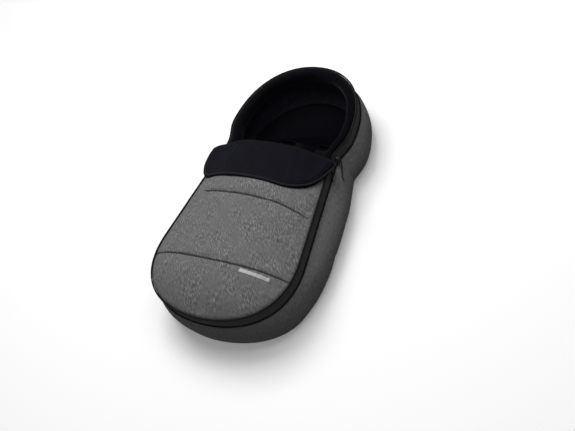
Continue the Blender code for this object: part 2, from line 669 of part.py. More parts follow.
plunger_carrier = carrier_at("cord_lock_carrier", lock_frame @ Vector((0.0, 0.0, PLUNGER_Z[0])))
plunger_section = [(0.0, PLUNGER_Z[0]), (PLUNGER_R - 0.0004, PLUNGER_Z[0]), (PLUNGER_R, PLUNGER_Z[0] + 0.0004),
                   (PLUNGER_R, PLUNGER_Z[1] - 0.0012), (PLUNGER_R - 0.0012, PLUNGER_Z[1]), (0.0, PLUNGER_Z[1])]
shape, shape_faces = lathe(plunger_section)
plunger = add("cord_lock_plunger", moved(lock_frame, shape), shape_faces, MOULDED, plunger_carrier)
SLOT_TALL = 0.0034
slot_frame = hole_frame @ Matrix.Rotation(math.radians(90), 4, "Z") @ Matrix.Translation((0.0, 0.0016, 0.0))
cut(plunger, round_bar("plunger_slot_cutter", slot_frame, CORD_HOLE_R, -0.006, 0.006, SLOT_TALL))

SPRING_TURNS, TURN_POINTS = 4, 9
SPRING_R, WIRE_R = 0.0028, 0.00035
spring_low, spring_high = floor_z + WIRE_R + 0.0002, PLUNGER_Z[0] - WIRE_R - 0.0002
helix = []
for k in range(SPRING_TURNS * TURN_POINTS + 1):
    angle = 2 * math.pi * k / TURN_POINTS
    share = k / (SPRING_TURNS * TURN_POINTS)
    local = (SPRING_R * math.cos(angle), SPRING_R * math.sin(angle), spring_low + (spring_high - spring_low) * share)
    helix.append(lock_frame @ Vector(local))
cord_tube("cord_lock_spring", helix, WIRE_R, STEEL, 1)

# Zip sliders: a flanged inner plate and a shield-shaped outer one, joined by a wedge between the
# coils, with an arched bridge outside for the pull's link
PLATE_IN = (-0.0056, -0.0040)
PLATE_OUT = (0.0023, 0.0039)
FLANGE_N, FLANGE_WALL = 0.0001, 0.0008
NECK_HALF = 0.0006
BRIDGE_N, BRIDGE_HALF, BRIDGE_WIDTH, BRIDGE_WALL = 0.0082, 0.0037, 0.0018, 0.0010
BAR_N = 0.0059
LINK_CORNER = 0.0014


def outer_plate(name, place, carrier):
    """The slider's face: wide where the tapes part, narrow where they are joined."""
    long, tall = SLIDER_LENGTH / 2, SLIDER_HEIGHT / 2
    edge = [(-long, tall - 0.0014), (-long + 0.0012, tall), (0.0, tall - 0.0003), (long - 0.0012, tall - 0.0012),
            (long, tall - 0.0024)]
    ring = edge + [(y, -z) for y, z in edge[::-1]]
    return extruded(name, place, ring, *PLATE_OUT, lambda y, z, x: (x, y, z), LACQUER, carrier)


def inner_plate(name, place):
    """The slider's hidden plate, with a flange along each edge that guides the coils."""
    low, deep = PLATE_IN
    tall = SLIDER_HEIGHT / 2
    inside = tall - FLANGE_WALL
    ring = [(low, -tall), (low, tall), (FLANGE_N, tall), (FLANGE_N, inside), (deep, inside),
            (deep, -inside), (FLANGE_N, -inside), (FLANGE_N, -tall)]
    long = SLIDER_LENGTH / 2
    return extruded(name, place, ring, -long, long, lambda x, z, y: (x, y, z), LACQUER)


def neck_wedge(name, place):
    """The wedge that joins the plates and parts the coils, at the slider's open end."""
    start = 0.0004 - SLIDER_LENGTH / 2
    ring = [(start, -NECK_HALF), (start + 0.0022, -NECK_HALF), (start + 0.0036, -0.0002),
            (start + 0.0036, 0.0002), (start + 0.0022, NECK_HALF), (start, NECK_HALF)]
    sunk = 0.0002
    return extruded(name, place, ring, PLATE_IN[1] - sunk, PLATE_OUT[0] + sunk, lambda y, z, x: (x, y, z), LACQUER)


def bridge_arch(name, place):
    """A small arch on the slider's outer plate, which holds the pull's bar."""
    foot, wall = PLATE_OUT[1] - 0.0004, BRIDGE_WALL
    rounding = 0.0012
    ring = [(foot, -BRIDGE_HALF), (BRIDGE_N - rounding, -BRIDGE_HALF), (BRIDGE_N, rounding - BRIDGE_HALF),
            (BRIDGE_N, BRIDGE_HALF - rounding), (BRIDGE_N - rounding, BRIDGE_HALF), (foot, BRIDGE_HALF),
            (foot, BRIDGE_HALF - wall), (BRIDGE_N - rounding, BRIDGE_HALF - wall),
            (BRIDGE_N - rounding, wall - BRIDGE_HALF), (foot, wall - BRIDGE_HALF)]
    half = BRIDGE_WIDTH / 2
    return extruded(name, place, ring, -half, half, lambda x, y, z: (x, y, z), LACQUER)


def link_loop(name, place, carrier, sides=6):
    """The pull's wire link: a round-cornered loop beside the band, its near bar in the bridge."""
    far = LINK_LENGTH - 2 * LINK_R
    high = LINK_HALF - LINK_CORNER
    centres = ((far - LINK_CORNER, high), (LINK_CORNER, high), (LINK_CORNER, -high), (far - LINK_CORNER, -high))
    path = []
    for quarter, (y, z) in enumerate(centres):
        for k in range(4):
            turn = math.radians(90 * quarter + 30 * k)
            path.append(Vector((BAR_N, y + LINK_CORNER * math.cos(turn), z + LINK_CORNER * math.sin(turn))))
    normal = Vector((1.0, 0.0, 0.0))
    count = len(path)
    vertices, faces = [], []
    for k, here in enumerate(path):
        along = (path[(k + 1) % count] - path[k - 1]).normalized()
        across = along.cross(normal)
        for j in range(sides):
            angle = 2 * math.pi * j / sides
            vertices.append(here + (normal * math.cos(angle) + across * math.sin(angle)) * LINK_R)
    for k in range(count):
        for j in range(sides):
            a, b = k * sides + j, k * sides + (j + 1) % sides
            c, d = ((k + 1) % count) * sides + (j + 1) % sides, ((k + 1) % count) * sides + j
            faces.append((a, b, c, d))
    return add(name, moved(place, vertices), faces, LACQUER, carrier)


def webbing_tab(name, place, carrier):
    """A narrow strip folded over the link's far bar, its two legs running on together."""
    centre, radius = LINK_LENGTH - 2 * LINK_R, LINK_R + 0.0004
    outside, inside = [], []
    for k in range(7):
        turn = math.radians(90 + 180 * k / 6)
        for ring, r in ((outside, radius + TAB_THICK), (inside, radius)):
            ring.append((BAR_N + r * math.sin(turn), centre + r * math.cos(turn)))
    far = centre + TAB_LENGTH
    ring = [(BAR_N + radius + TAB_THICK, far), *outside, (BAR_N - radius - TAB_THICK, far),
            (BAR_N - radius, far), *inside[::-1], (BAR_N + radius, far)]
    half = TAB_WIDTH / 2
    return extruded(name, place, ring, -half, half, lambda x, y, z: (x, y, z), WEBBING, carrier)


for side, mirror in (("right", 1.0), ("left", -1.0)):
    place = side_frame(SLIDER_Y, COIL_Z, mirror)
    slider_carrier = carrier_at(f"slider_{side}_carrier", place.translation)
    slider = outer_plate(f"zip_slider_{side}", place, slider_carrier)
    cut(slider, neck_wedge(f"slider_neck_{side}", place), "UNION")
    cut(slider, inner_plate(f"slider_inner_{side}", place), "UNION")
    cut(slider, bridge_arch(f"slider_bridge_{side}", place), "UNION")
    tilted = place @ Matrix.Rotation(math.radians(-PULL_TILT), 4, "X")
    pull_carrier = carrier_at(f"pull_{side}_carrier", place @ Vector((BAR_N, 0.0, 0.0)))
    link_loop(f"pull_link_{side}", tilted, pull_carrier)
    webbing_tab(f"pull_tab_{side}", tilted, pull_carrier)


# Cuff: a padded flap turned down over the cover's end, bound along its free edge
BINDING_R = 0.0017
BINDING_REACH = BINDING_R + 0.0006
BINDING_LIFT = 0.0022


def cuff_side(curves):
    """Points down one side of the flap, from its fold to its hem."""
    upper, lower = curves
    return [bezier(*upper, k / 6) for k in range(6)] + [bezier(*lower, k / 12) for k in range(13)]


def crossing(points, y):
    """Where a side of the flap crosses a row."""
    for (x0, y0), (x1, y1) in zip(points, points[1:]):
        if y1 <= y <= y0 and y0 > y1:
            return x0 + (x1 - x0) * (y0 - y) / (y0 - y1)
    return points[-1][0]


def cuff_height(x, y):
    """The flap rests on the cover's arch, then runs on in a slant that bridges the piping."""
    reach = abs(x) / station(y)[0].x
    full = EDGE_Z + (CROWN + PUFF) * (1 - min(reach, 1.0) ** ARCH_POWER) + CUFF_LIFT
    slant = CUFF_SLANT * min(max((CUFF_SLANT_END - reach) / (CUFF_SLANT_END - CUFF_SLANT_START), 0.0), 1.0)
    return max(full, EDGE_Z + PIPING_R + CUFF_LIFT + slant)


def cuff_grid():
    """Plan points in rows from the fold to the hem, closer where the corners turn."""
    shares = [0.0, 0.03, 0.08, 0.16, 0.3, 0.45, 0.6, 0.73, 0.84, 0.92, 0.97, 1.0]
    spread = [0.5 + 0.5 * math.sin(math.pi / 2 * k / 9) for k in range(-9, 10)]
    right, left = cuff_side(CUFF_RIGHT), cuff_side(CUFF_LEFT)
    rows = []
    for share in shares:
        y = CUFF_TOP_Y + (CUFF_HEM_Y - CUFF_TOP_Y) * share
        low, high = crossing(left, y), crossing(right, y)
        rows.append([(low + (high - low) * u, y) for u in spread])
    return rows


def binding_route():
    """The middle of the bound edge, from the fold's right end round to its left end."""
    right, left = cuff_side(CUFF_RIGHT), cuff_side(CUFF_LEFT)
    hem = [(right[-1][0] + (left[-1][0] - right[-1][0]) * k / 9, CUFF_HEM_Y) for k in range(1, 9)]
    edge = [Vector(p) for p in right[4:] + hem + left[:3:-1]]
    lift = CUFF_BACKING + BINDING_LIFT
    route = []
    for k, here in enumerate(edge):
        along = (edge[min(k + 1, len(edge) - 1)] - edge[max(k - 1, 0)]).normalized()
        out = here + Vector((-along.y, along.x)) * BINDING_REACH
        route.append(Vector((out.x, out.y, cuff_height(here.x, here.y) + lift)))
    return route


flap_lift = CUFF_BACKING + LAYER_GAP + CUFF_FLAP
quilt("cuff_backing", cuff_grid(), lambda x, y: CUFF_BACKING, lambda x, y: CUFF_BACKING, FLEECE, fold_cuff,
      cuff_height)
quilt("cuff_flap", cuff_grid(), lambda x, y: flap_lift, lambda x, y: CUFF_FLAP, NAVY, fold_cuff, cuff_height)
cord_tube("cuff_binding", binding_route(), BINDING_R, WEBBING, 1, fold_cuff)

# Blank woven tab sewn on the foot panel, just below the lower seam
TAB_CENTRE = (0.133, -0.2780)
TAB_SIZE = (0.083, 0.0118)
tab_grid = [[(TAB_CENTRE[0] + TAB_SIZE[0] * (c / 8 - 0.5), TAB_CENTRE[1] + TAB_SIZE[1] * (r / 2 - 0.5))
             for c in range(9)] for r in range(3)]
quilt("label_tab", tab_grid, lambda x, y: 0.0016, lambda x, y: 0.0009, LABEL)
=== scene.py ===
import math

import bmesh
import bpy
import numpy as np
from mathutils import Matrix, Vector


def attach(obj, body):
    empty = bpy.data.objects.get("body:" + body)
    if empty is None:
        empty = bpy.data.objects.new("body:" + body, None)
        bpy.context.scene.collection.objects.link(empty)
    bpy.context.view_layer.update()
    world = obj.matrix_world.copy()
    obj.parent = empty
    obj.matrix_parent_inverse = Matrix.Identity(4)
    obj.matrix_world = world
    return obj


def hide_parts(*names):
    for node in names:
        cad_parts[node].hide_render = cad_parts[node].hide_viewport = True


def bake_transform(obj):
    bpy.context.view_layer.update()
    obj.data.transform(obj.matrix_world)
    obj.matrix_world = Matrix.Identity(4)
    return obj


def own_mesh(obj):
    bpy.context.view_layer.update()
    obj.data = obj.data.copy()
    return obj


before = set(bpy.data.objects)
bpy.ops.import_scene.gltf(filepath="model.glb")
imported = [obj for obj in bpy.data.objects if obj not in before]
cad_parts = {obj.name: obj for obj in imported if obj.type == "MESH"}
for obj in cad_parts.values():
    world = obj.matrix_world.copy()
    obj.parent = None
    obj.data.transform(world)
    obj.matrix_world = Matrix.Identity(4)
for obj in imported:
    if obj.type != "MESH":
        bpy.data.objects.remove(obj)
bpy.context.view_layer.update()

# Room. The bag lies on its back on a plain white floor, lit softly from above the hood.
# The camera stands off the bag's right knee, rolled as the photograph has it.
SIGHT = Vector((0.0, -0.049, 0.150))
AZIMUTH, ELEVATION, ROLL = math.radians(52.498), math.radians(49.320), math.radians(-34.388)
STAND_OFF, SHIFT_RIGHT, SHIFT_DOWN = 2.8906, 0.0923, 0.0399
SENSOR_WIDTH = 36.0
PICTURE_WIDTH, FOCAL_LENGTH = 575.0, 1069.0
ROOM_GLOW = 0.16
FLOOR_REACH, FLOOR_Z = 9.0, -0.0006
WHITE = (1.0, 1.0, 1.0, 1.0)
towards = Vector((math.sin(AZIMUTH) * math.cos(ELEVATION), -math.cos(AZIMUTH) * math.cos(ELEVATION),
                  math.sin(ELEVATION)))
level = Vector((math.cos(AZIMUTH), math.sin(AZIMUTH), 0.0))
upright = towards.cross(level)
across = level * math.cos(ROLL) + upright * math.sin(ROLL)
rise = upright * math.cos(ROLL) - level * math.sin(ROLL)
view = bpy.data.cameras.new("view")
view.sensor_width = SENSOR_WIDTH
view.lens = FOCAL_LENGTH * SENSOR_WIDTH / PICTURE_WIDTH
view.clip_start, view.clip_end = 0.05, 60.0
camera = bpy.data.objects.new("view", view)
camera.matrix_world = Matrix((across, rise, towards)).transposed().to_4x4()
camera.location = SIGHT + towards * STAND_OFF + across * SHIFT_RIGHT - rise * SHIFT_DOWN
bpy.context.collection.objects.link(camera)
bpy.context.scene.camera = camera
bpy.context.scene.view_settings.view_transform = "Standard"


def combined(tree, operation, first, second):
    """Two values, or a value and a number, put together."""
    node = tree.nodes.new("ShaderNodeMath")
    node.operation = operation
    tree.links.new(first, node.inputs[0])
    if isinstance(second, (int, float)):
        node.inputs[1].default_value = second
    else:
        tree.links.new(second, node.inputs[1])
    return node.outputs[0]


def chosen(tree, share, first, second, output):
    """Sends the first shader to the output at share 0, and the second at share 1."""
    mix = tree.nodes.new("ShaderNodeMixShader")
    tree.links.new(share, mix.inputs["Fac"])
    tree.links.new(first.outputs[0], mix.inputs[1])
    tree.links.new(second.outputs[0], mix.inputs[2])
    tree.links.new(mix.outputs[0], output.inputs["Surface"])


def seen_white(tree, lit, output):
    """White to the eye, to gloss and through glass, but only as bright as lit for lighting."""
    ray = tree.nodes.new("ShaderNodeLightPath").outputs
    seen = combined(tree, "MAXIMUM", ray["Is Camera Ray"], ray["Is Glossy Ray"])
    seen = combined(tree, "MAXIMUM", seen, ray["Is Transmission Ray"])
    white = tree.nodes.new("ShaderNodeBackground")
    white.inputs["Color"].default_value = WHITE
    chosen(tree, seen, lit, white, output)


sky = bpy.data.worlds.new("soft_room")
bpy.context.scene.world = sky
sky.use_nodes = True
glow = sky.node_tree.nodes["Background"]
glow.inputs["Color"].default_value = WHITE
glow.inputs["Strength"].default_value = ROOM_GLOW
seen_white(sky.node_tree, glow, sky.node_tree.nodes["World Output"])


def shape(name, points, faces):
    """A new object in the scene, with a mesh of these points and faces."""
    mesh = bpy.data.meshes.new(name)
    mesh.from_pydata(points, [], faces)
    piece = bpy.data.objects.new(name, mesh)
    bpy.context.collection.objects.link(piece)
    return piece


def paper_finish():
    """Floor paper: white to the eye, with the room's glow added, and dull grey to all other light."""
    paper = bpy.data.materials.new("floor_paper")
    paper.use_nodes = True
    tree = paper.node_tree
    dull = tree.nodes["Principled BSDF"]
    dull.inputs["Base Color"].default_value = (0.14, 0.14, 0.14, 1.0)
    dull.inputs["Roughness"].default_value = 1.0
    dull.inputs["Specular IOR Level"].default_value = 0.0
    bright = tree.nodes.new("ShaderNodeBsdfDiffuse")
    bright.inputs["Color"].default_value = WHITE
    lift = tree.nodes.new("ShaderNodeEmission")
    lift.inputs["Strength"].default_value = ROOM_GLOW
    both = tree.nodes.new("ShaderNodeAddShader")
    tree.links.new(bright.outputs[0], both.inputs[0])
    tree.links.new(lift.outputs[0], both.inputs[1])
    ray = tree.nodes.new("ShaderNodeLightPath").outputs
    chosen(tree, ray["Is Camera Ray"], dull, both, tree.nodes["Material Output"])
    return paper


floor_corners = [(FLOOR_REACH * x, FLOOR_REACH * y, FLOOR_Z) for x, y in ((-1, -1), (1, -1), (1, 1), (-1, 1))]
floor = shape("floor", floor_corners, [(0, 1, 2, 3)])
floor.data.materials.append(paper_finish())


def softbox(name, place, size, power):
    """A square soft light aimed at the bag."""
    lamp = bpy.data.lights.new(name, "AREA")
    lamp.size = size
    lamp.energy = power
    box = bpy.data.objects.new(name, lamp)
    box.location = place
    box.rotation_euler = (Vector(place) - SIGHT).to_track_quat("Z", "Y").to_euler()
    bpy.context.collection.objects.link(box)


softbox("over_hood", (-0.7, 0.9, 2.8), 1.8, 63.0)
softbox("over_right", (1.0, 0.5, 3.0), 1.6, 20.0)
softbox("over_toe", (1.2, -2.0, 2.2), 2.0, 5.0)

# Side wall. One band of heather-grey melange over thin padding runs round the whole bag.
# It is 6 mm thick, is sewn in at the zip and the floor, swells out between them and turns under.
TOE_Y = -0.410
FOOT_X, FOOT_Y = 0.214, -0.199
WAIST_X, WAIST_Y = 0.169, 0.116
HOOD_X, HOOD_Y = 0.186, 0.201
HEAD_Y = 0.4115
BAND_Z = 0.114
WALL_THICK = 0.0062
SWELL = ((TOE_Y, 0.010), (-0.299, 0.016), (-0.129, 0.038), (0.011, 0.040), (HOOD_Y, 0.022), (HEAD_Y, 0.010))
BASE = ((TOE_Y, -0.024), (-0.299, -0.010), (-0.129, 0.005), (0.011, 0.006), (HOOD_Y, -0.018),
        (HEAD_Y, -0.045))


def bezier(points, t):
    """Cubic curve: the four points weighted by (1-t)^3, 3t(1-t)^2, 3t^2(1-t) and t^3."""
    p = [np.asarray(q, float) for q in points]
    t = np.asarray(t, float)[..., None]
    return (1 - t) ** 3 * p[0] + 3 * t * (1 - t) ** 2 * p[1] + 3 * t * t * (1 - t) * p[2] + t ** 3 * p[3]


def evenly(line, count):
    """A line's points again at an even step, count of them: distance along it, x and y."""
    length = np.concatenate([[0], np.cumsum(np.linalg.norm(np.diff(line, axis=0), axis=1))])
    even = np.linspace(0, length[-1], count)
    return even, np.interp(even, length, line[:, 0]), np.interp(even, length, line[:, 1])


def cover_edge():
    """Right half of the cover's edge in plan, toe to head: distance along it, x, y and outward normal."""
    run = np.array((WAIST_X - FOOT_X, WAIST_Y - FOOT_Y))
    run /= np.linalg.norm(run)
    foot, waist, hood = np.array((FOOT_X, FOOT_Y)), np.array((WAIST_X, WAIST_Y)), np.array((HOOD_X, HOOD_Y))
    toe = bezier([(0, TOE_Y), (0.66 * FOOT_X, TOE_Y), foot - run * 0.66 * (FOOT_Y - TOE_Y), foot],
                 np.linspace(0, 1, 300))
    shoulder = bezier([waist, waist + run * 0.032, hood - (0, 0.032), hood], np.linspace(0, 1, 100))
    pull = 0.60 * (HEAD_Y - HOOD_Y)
    head = bezier([hood, hood + (0, pull), (0.60 * HOOD_X, HEAD_Y), (0, HEAD_Y)], np.linspace(0, 1, 300))
    line = np.vstack([toe, shoulder[:1] * 0.5 + toe[-1:] * 0.5, shoulder, head[1:]])
    even, x, y = evenly(line, 1000)
    dx, dy = np.gradient(x), np.gradient(y)
    dy[[0, -1]] = 0.0
    size = np.hypot(dx, dy)
    return even, x, y, dy / size, -dx / size


EDGE_S, EDGE_X, EDGE_Y, EDGE_NX, EDGE_NY = cover_edge()
HALF_ROUND = EDGE_S[-1]


def around(a):
    """A place on the cover's edge, a metres from the toe's tip, right-hand side positive: x, y, nx, ny."""
    s, side = np.abs(a), np.sign(a)
    return (np.interp(s, EDGE_S, EDGE_X) * side, np.interp(s, EDGE_S, EDGE_Y),
            np.interp(s, EDGE_S, EDGE_NX) * side, np.interp(s, EDGE_S, EDGE_NY))


def beside(edge, off, z):
    """A grid of points beside places on the edge: off outwards along its normals, at height z."""
    x, y, nx, ny = (value[:, None] for value in edge)
    return np.stack(np.broadcast_arrays(x + nx * off, y + ny * off, z), -1)


def reach_at(y):
    """Distance from the toe's tip, along the edge, to a place y along the bag."""
    return np.interp(y, EDGE_Y, EDGE_S)


def spaced(low, high, step=0.0026):
    """Places along the edge at an even step."""
    return np.linspace(low, high, max(int(abs(high - low) / step), 8))


def graded(y, table):
    """Values between named places along the bag, eased by 3s^2 - 2s^3 between neighbours."""
    y = np.asarray(y, float)
    value = np.full(y.shape, float(table[0][1]))
    for (y0, v0), (y1, v1) in zip(table, table[1:]):
        s = np.clip((y - y0) / (y1 - y0), 0, 1)
        value = np.where(y >= y0, v0 + (v1 - v0) * s * s * (3 - 2 * s), value)
    return value


def wall_section(y, t, inset):
    """Side wall across: a cubic from the zip (t=0) to the floor (t=1), moved in by inset."""
    y, t = np.broadcast_arrays(np.asarray(y, float), np.asarray(t, float))
    swell, base = graded(y, SWELL), graded(y, BASE)
    ends = np.zeros(y.shape)
    p = [np.stack([ends + 0.0010, ends + BAND_Z - 0.0004], -1), np.stack([swell * 1.25, ends + 0.105], -1),
         np.stack([swell + 0.012, ends + 0.008], -1), np.stack([base + 0.0006, ends], -1)]
    s = t[..., None]
    point = bezier(p, t)
    along = (1 - s) ** 2 * (p[1] - p[0]) + 2 * s * (1 - s) * (p[2] - p[1]) + s * s * (p[3] - p[2])
    along /= np.linalg.norm(along, axis=-1, keepdims=True)
    return point[..., 0] + along[..., 1] * inset, point[..., 1] - along[..., 0] * inset


def rumple(u, v, seed, length, stretch=1.0):
    """Soft random relief from -1 to 1: twelve plane waves near the wavelength, drawn out along v."""
    rng = np.random.default_rng(seed)
    field = np.zeros(np.broadcast(u, v).shape)
    for _ in range(12):
        angle, phase, size = rng.uniform(0, 2 * math.pi), rng.uniform(0, 2 * math.pi), rng.uniform(0.7, 1.6)
        k = 2 * math.pi / (length * size)
        field = field + np.sin(k * (np.cos(angle) * u + np.sin(angle) * v / stretch) + phase) * size
    return field / 6.0


def grid_quads(rows, columns, wrap_rows=False, wrap_columns=False):
    """Quads of a grid of points numbered row by row. A wrapped side joins its end to its start."""
    i, j = np.meshgrid(np.arange(rows if wrap_rows else rows - 1),
                       np.arange(columns if wrap_columns else columns - 1), indexing="ij")
    i2, j2 = (i + 1) % rows, (j + 1) % columns
    corners = [i * columns + j, i * columns + j2, i2 * columns + j2, i2 * columns + j]
    return np.stack(corners, -1).reshape(-1, 4).tolist()


def filled(points, sewn, slack, cap, loop=False):
    """How far padding pushes out a grid of cloth, sewn down at some of its points: one vector a point.

    Blender's cloth runs for 20 frames under pressure 4 with gravity off. slack is how much longer the
    cloth is than what it covers, and no point moves by more than cap. A loop closes on itself.
    """
    frames, pressure = 20, 4.0
    sheet = shape("sheet", points.reshape(-1, 3).tolist(), grid_quads(*points.shape[:2], wrap_rows=loop))
    mesh = sheet.data
    sheet.vertex_groups.new(name="sewn").add(np.flatnonzero(sewn).tolist(), 1.0, "REPLACE")
    cloth = sheet.modifiers.new("padding", "CLOTH")
    cloth.settings.vertex_group_mass = "sewn"
    cloth.settings.use_pressure = True
    cloth.settings.uniform_pressure_force = pressure
    cloth.settings.shrink_min = -slack
    cloth.settings.effector_weights.gravity = 0.0
    cloth.point_cache.frame_start, cloth.point_cache.frame_end = 1, frames
    for moment in range(1, frames + 1):
        bpy.context.scene.frame_set(moment)
    shaped = sheet.evaluated_get(bpy.context.evaluated_depsgraph_get()).to_mesh()
    final = np.empty(points.size)
    shaped.vertices.foreach_get("co", final)
    bpy.data.objects.remove(sheet)
    bpy.data.meshes.remove(mesh)
    bpy.context.scene.frame_set(1)
    move = final.reshape(points.shape) - points
    far = np.linalg.norm(move, axis=-1, keepdims=True)
    return move * np.minimum(1.0, cap / np.maximum(far, 1e-9))


def sampled(grid, v, u):
    """Values of a grid at places v down it and u across it, both 0 to 1, straight between its points."""
    v, u = np.clip(v, 0, 1) * (grid.shape[0] - 1), np.clip(u, 0, 1) * (grid.shape[1] - 1)
    i, j = np.minimum(v.astype(int), grid.shape[0] - 2), np.minimum(u.astype(int), grid.shape[1] - 2)
    a, b = v - i, u - j
    return ((1 - a) * ((1 - b) * grid[i, j] + b * grid[i, j + 1])
            + a * ((1 - b) * grid[i + 1, j] + b * grid[i + 1, j + 1]))


def smoothed(piece, material):
    """Merges a piece's doubled points, turns its faces outwards and shades them smooth."""
    build = bmesh.new()
    build.from_mesh(piece.data)
    bmesh.ops.remove_doubles(build, verts=build.verts, dist=1e-6)
    bmesh.ops.recalc_face_normals(build, faces=build.faces)
    build.to_mesh(piece.data)
    build.free()
    piece.data.shade_smooth()
    piece.data.materials.append(material)


def skin(name, rings, material, closed=False):
    """A closed surface through rings of points, each joined to the next by quads. UV is in metres.

    rings is (rows, points, 3). The points of a ring close on themselves, and so do the rows of a
    closed piece. Otherwise the first and last rings are filled.
    """
    rings = np.asarray(rings, float)
    rows, points = rings.shape[:2]
    wrapped = np.concatenate([rings, rings[:, :1]], axis=1)
    turned = np.cumsum(np.linalg.norm(np.diff(wrapped, axis=1), axis=2), axis=1)
    u = np.concatenate([np.zeros((rows, 1)), turned], axis=1)
    u -= u[:, -1:] / 4
    tall = np.vstack([wrapped, wrapped[:1]]) if closed else wrapped
    u = np.vstack([u, u[:1]]) if closed else u
    steps = np.median(np.linalg.norm(np.diff(tall, axis=0), axis=2), axis=1)
    v = np.concatenate([[0], np.cumsum(steps)])[:, None] + np.zeros((1, points + 1))
    flat = np.stack([u, v], -1)
    uv = np.stack([flat[:-1, :-1], flat[:-1, 1:], flat[1:, 1:], flat[1:, :-1]], 2).reshape(-1, 2)
    faces = grid_quads(rows, points, wrap_rows=closed, wrap_columns=True)
    if not closed:
        faces += [list(range(points))[::-1], list(range((rows - 1) * points, rows * points))]
        uv = np.vstack([uv, rings[0, ::-1, :2], rings[-1, :, :2]])
    piece = shape(name, rings.reshape(-1, 3).tolist(), faces)
    piece.data.uv_layers.new(name="UVMap").data.foreach_set("uv", uv.ravel())
    smoothed(piece, material)
    piece.data.set_sharp_from_angle(angle=math.radians(60.0))
    return piece


def finish_of(name, colour, roughness, sheen=0.0, sheen_roughness=0.5, metallic=0.0, gloss=0.5):
    """A Principled finish, with its tree, to add a pattern to. Cloth has little gloss."""
    material = bpy.data.materials.new(name)
    material.use_nodes = True
    shader = material.node_tree.nodes["Principled BSDF"]
    shader.inputs["Base Color"].default_value = (*colour, 1.0)
    shader.inputs["Roughness"].default_value = roughness
    shader.inputs["Metallic"].default_value = metallic
    shader.inputs["Sheen Weight"].default_value = sheen
    shader.inputs["Sheen Roughness"].default_value = sheen_roughness
    shader.inputs["Specular IOR Level"].default_value = gloss
    return material, material.node_tree, shader


def placed_coordinates(tree, output, scale=(1.0, 1.0, 1.0), turn=0.0):
    """Coordinates scaled, and turned in the cloth's plane."""
    source = tree.nodes.new("ShaderNodeTexCoord")
    place = tree.nodes.new("ShaderNodeMapping")
    place.inputs["Scale"].default_value = scale
    turned = tree.nodes.new("ShaderNodeMapping")
    turned.inputs["Rotation"].default_value = (0.0, 0.0, math.radians(turn))
    tree.links.new(source.outputs[output], turned.inputs["Vector"])
    tree.links.new(turned.outputs[0], place.inputs["Vector"])
    return place.outputs[0]


def noise(tree, vector, scale, detail, rough=0.5):
    """A noise texture's value."""
    node = tree.nodes.new("ShaderNodeTexNoise")
    node.inputs["Scale"].default_value = scale
    node.inputs["Detail"].default_value = detail
    node.inputs["Roughness"].default_value = rough
    tree.links.new(vector, node.inputs["Vector"])
    return node.outputs[0]


def weighted(tree, first, first_share, second, second_share):
    """Two values added in their shares."""
    return combined(tree, "ADD", combined(tree, "MULTIPLY", first, first_share),
                    combined(tree, "MULTIPLY", second, second_share))


def ramp(tree, value, stops):
    """Colours by value."""
    node = tree.nodes.new("ShaderNodeValToRGB")
    bar = node.color_ramp
    while len(bar.elements) < len(stops):
        bar.elements.new(0.5)
    for element, (place, colour) in zip(bar.elements, stops):
        element.position = place
        element.color = (*colour, 1.0)
    tree.links.new(value, node.inputs[0])
    return node.outputs[0]


def bumped(tree, shader, height, distance, strength=1.0):
    """Relief from a height."""
    node = tree.nodes.new("ShaderNodeBump")
    node.inputs["Distance"].default_value = distance
    node.inputs["Strength"].default_value = strength
    tree.links.new(height, node.inputs["Height"])
    tree.links.new(node.outputs[0], shader.inputs["Normal"])


def melange_finish(name, patchy):
    """Brushed heather grey: pale and dark fibres lie in slanting streaks, about 11 mm by 3 mm.

    patchy is the value where patches of strong marking begin: a higher one leaves the cloth quieter.
    """
    material, tree, shader = finish_of(name, (0.15, 0.15, 0.152), 0.95, 0.05, 0.6, gloss=0.1)
    streak = noise(tree, placed_coordinates(tree, "UV", (360.0, 92.0, 360.0), -30.0), 1.0, 1.0)
    cross = noise(tree, placed_coordinates(tree, "UV", (330.0, 98.0, 330.0), -62.0), 1.0, 2.0, 0.6)
    fibre = noise(tree, placed_coordinates(tree, "UV", (1900.0, 300.0, 1900.0), -34.0), 1.0, 2.0, 0.6)
    mottle = noise(tree, placed_coordinates(tree, "UV", (55.0, 30.0, 55.0), -20.0), 1.0, 2.0)
    patches = noise(tree, placed_coordinates(tree, "UV", (16.0, 16.0, 16.0)), 1.0, 2.0)
    mixed = combined(tree, "ADD", weighted(tree, streak, 0.46, cross, 0.20),
                     weighted(tree, fibre, 0.22, mottle, 0.12))
    plain = ramp(tree, mixed, [(0.40, (0.120, 0.120, 0.121)), (0.60, (0.182, 0.182, 0.184))])
    marked = ramp(tree, mixed, [(0.38, (0.082, 0.082, 0.083)), (0.47, (0.122, 0.122, 0.123)),
                                (0.53, (0.168, 0.168, 0.170)), (0.62, (0.320, 0.320, 0.323))])
    blend = tree.nodes.new("ShaderNodeMix")
    blend.data_type = "RGBA"
    tree.links.new(ramp(tree, patches, [(patchy, (0, 0, 0)), (patchy + 0.22, (1, 1, 1))]), blend.inputs[0])
    tree.links.new(plain, blend.inputs[6])
    tree.links.new(marked, blend.inputs[7])
    tree.links.new(blend.outputs[2], shader.inputs["Base Color"])
    bumped(tree, shader, mixed, 0.0007, 0.6)
    return material


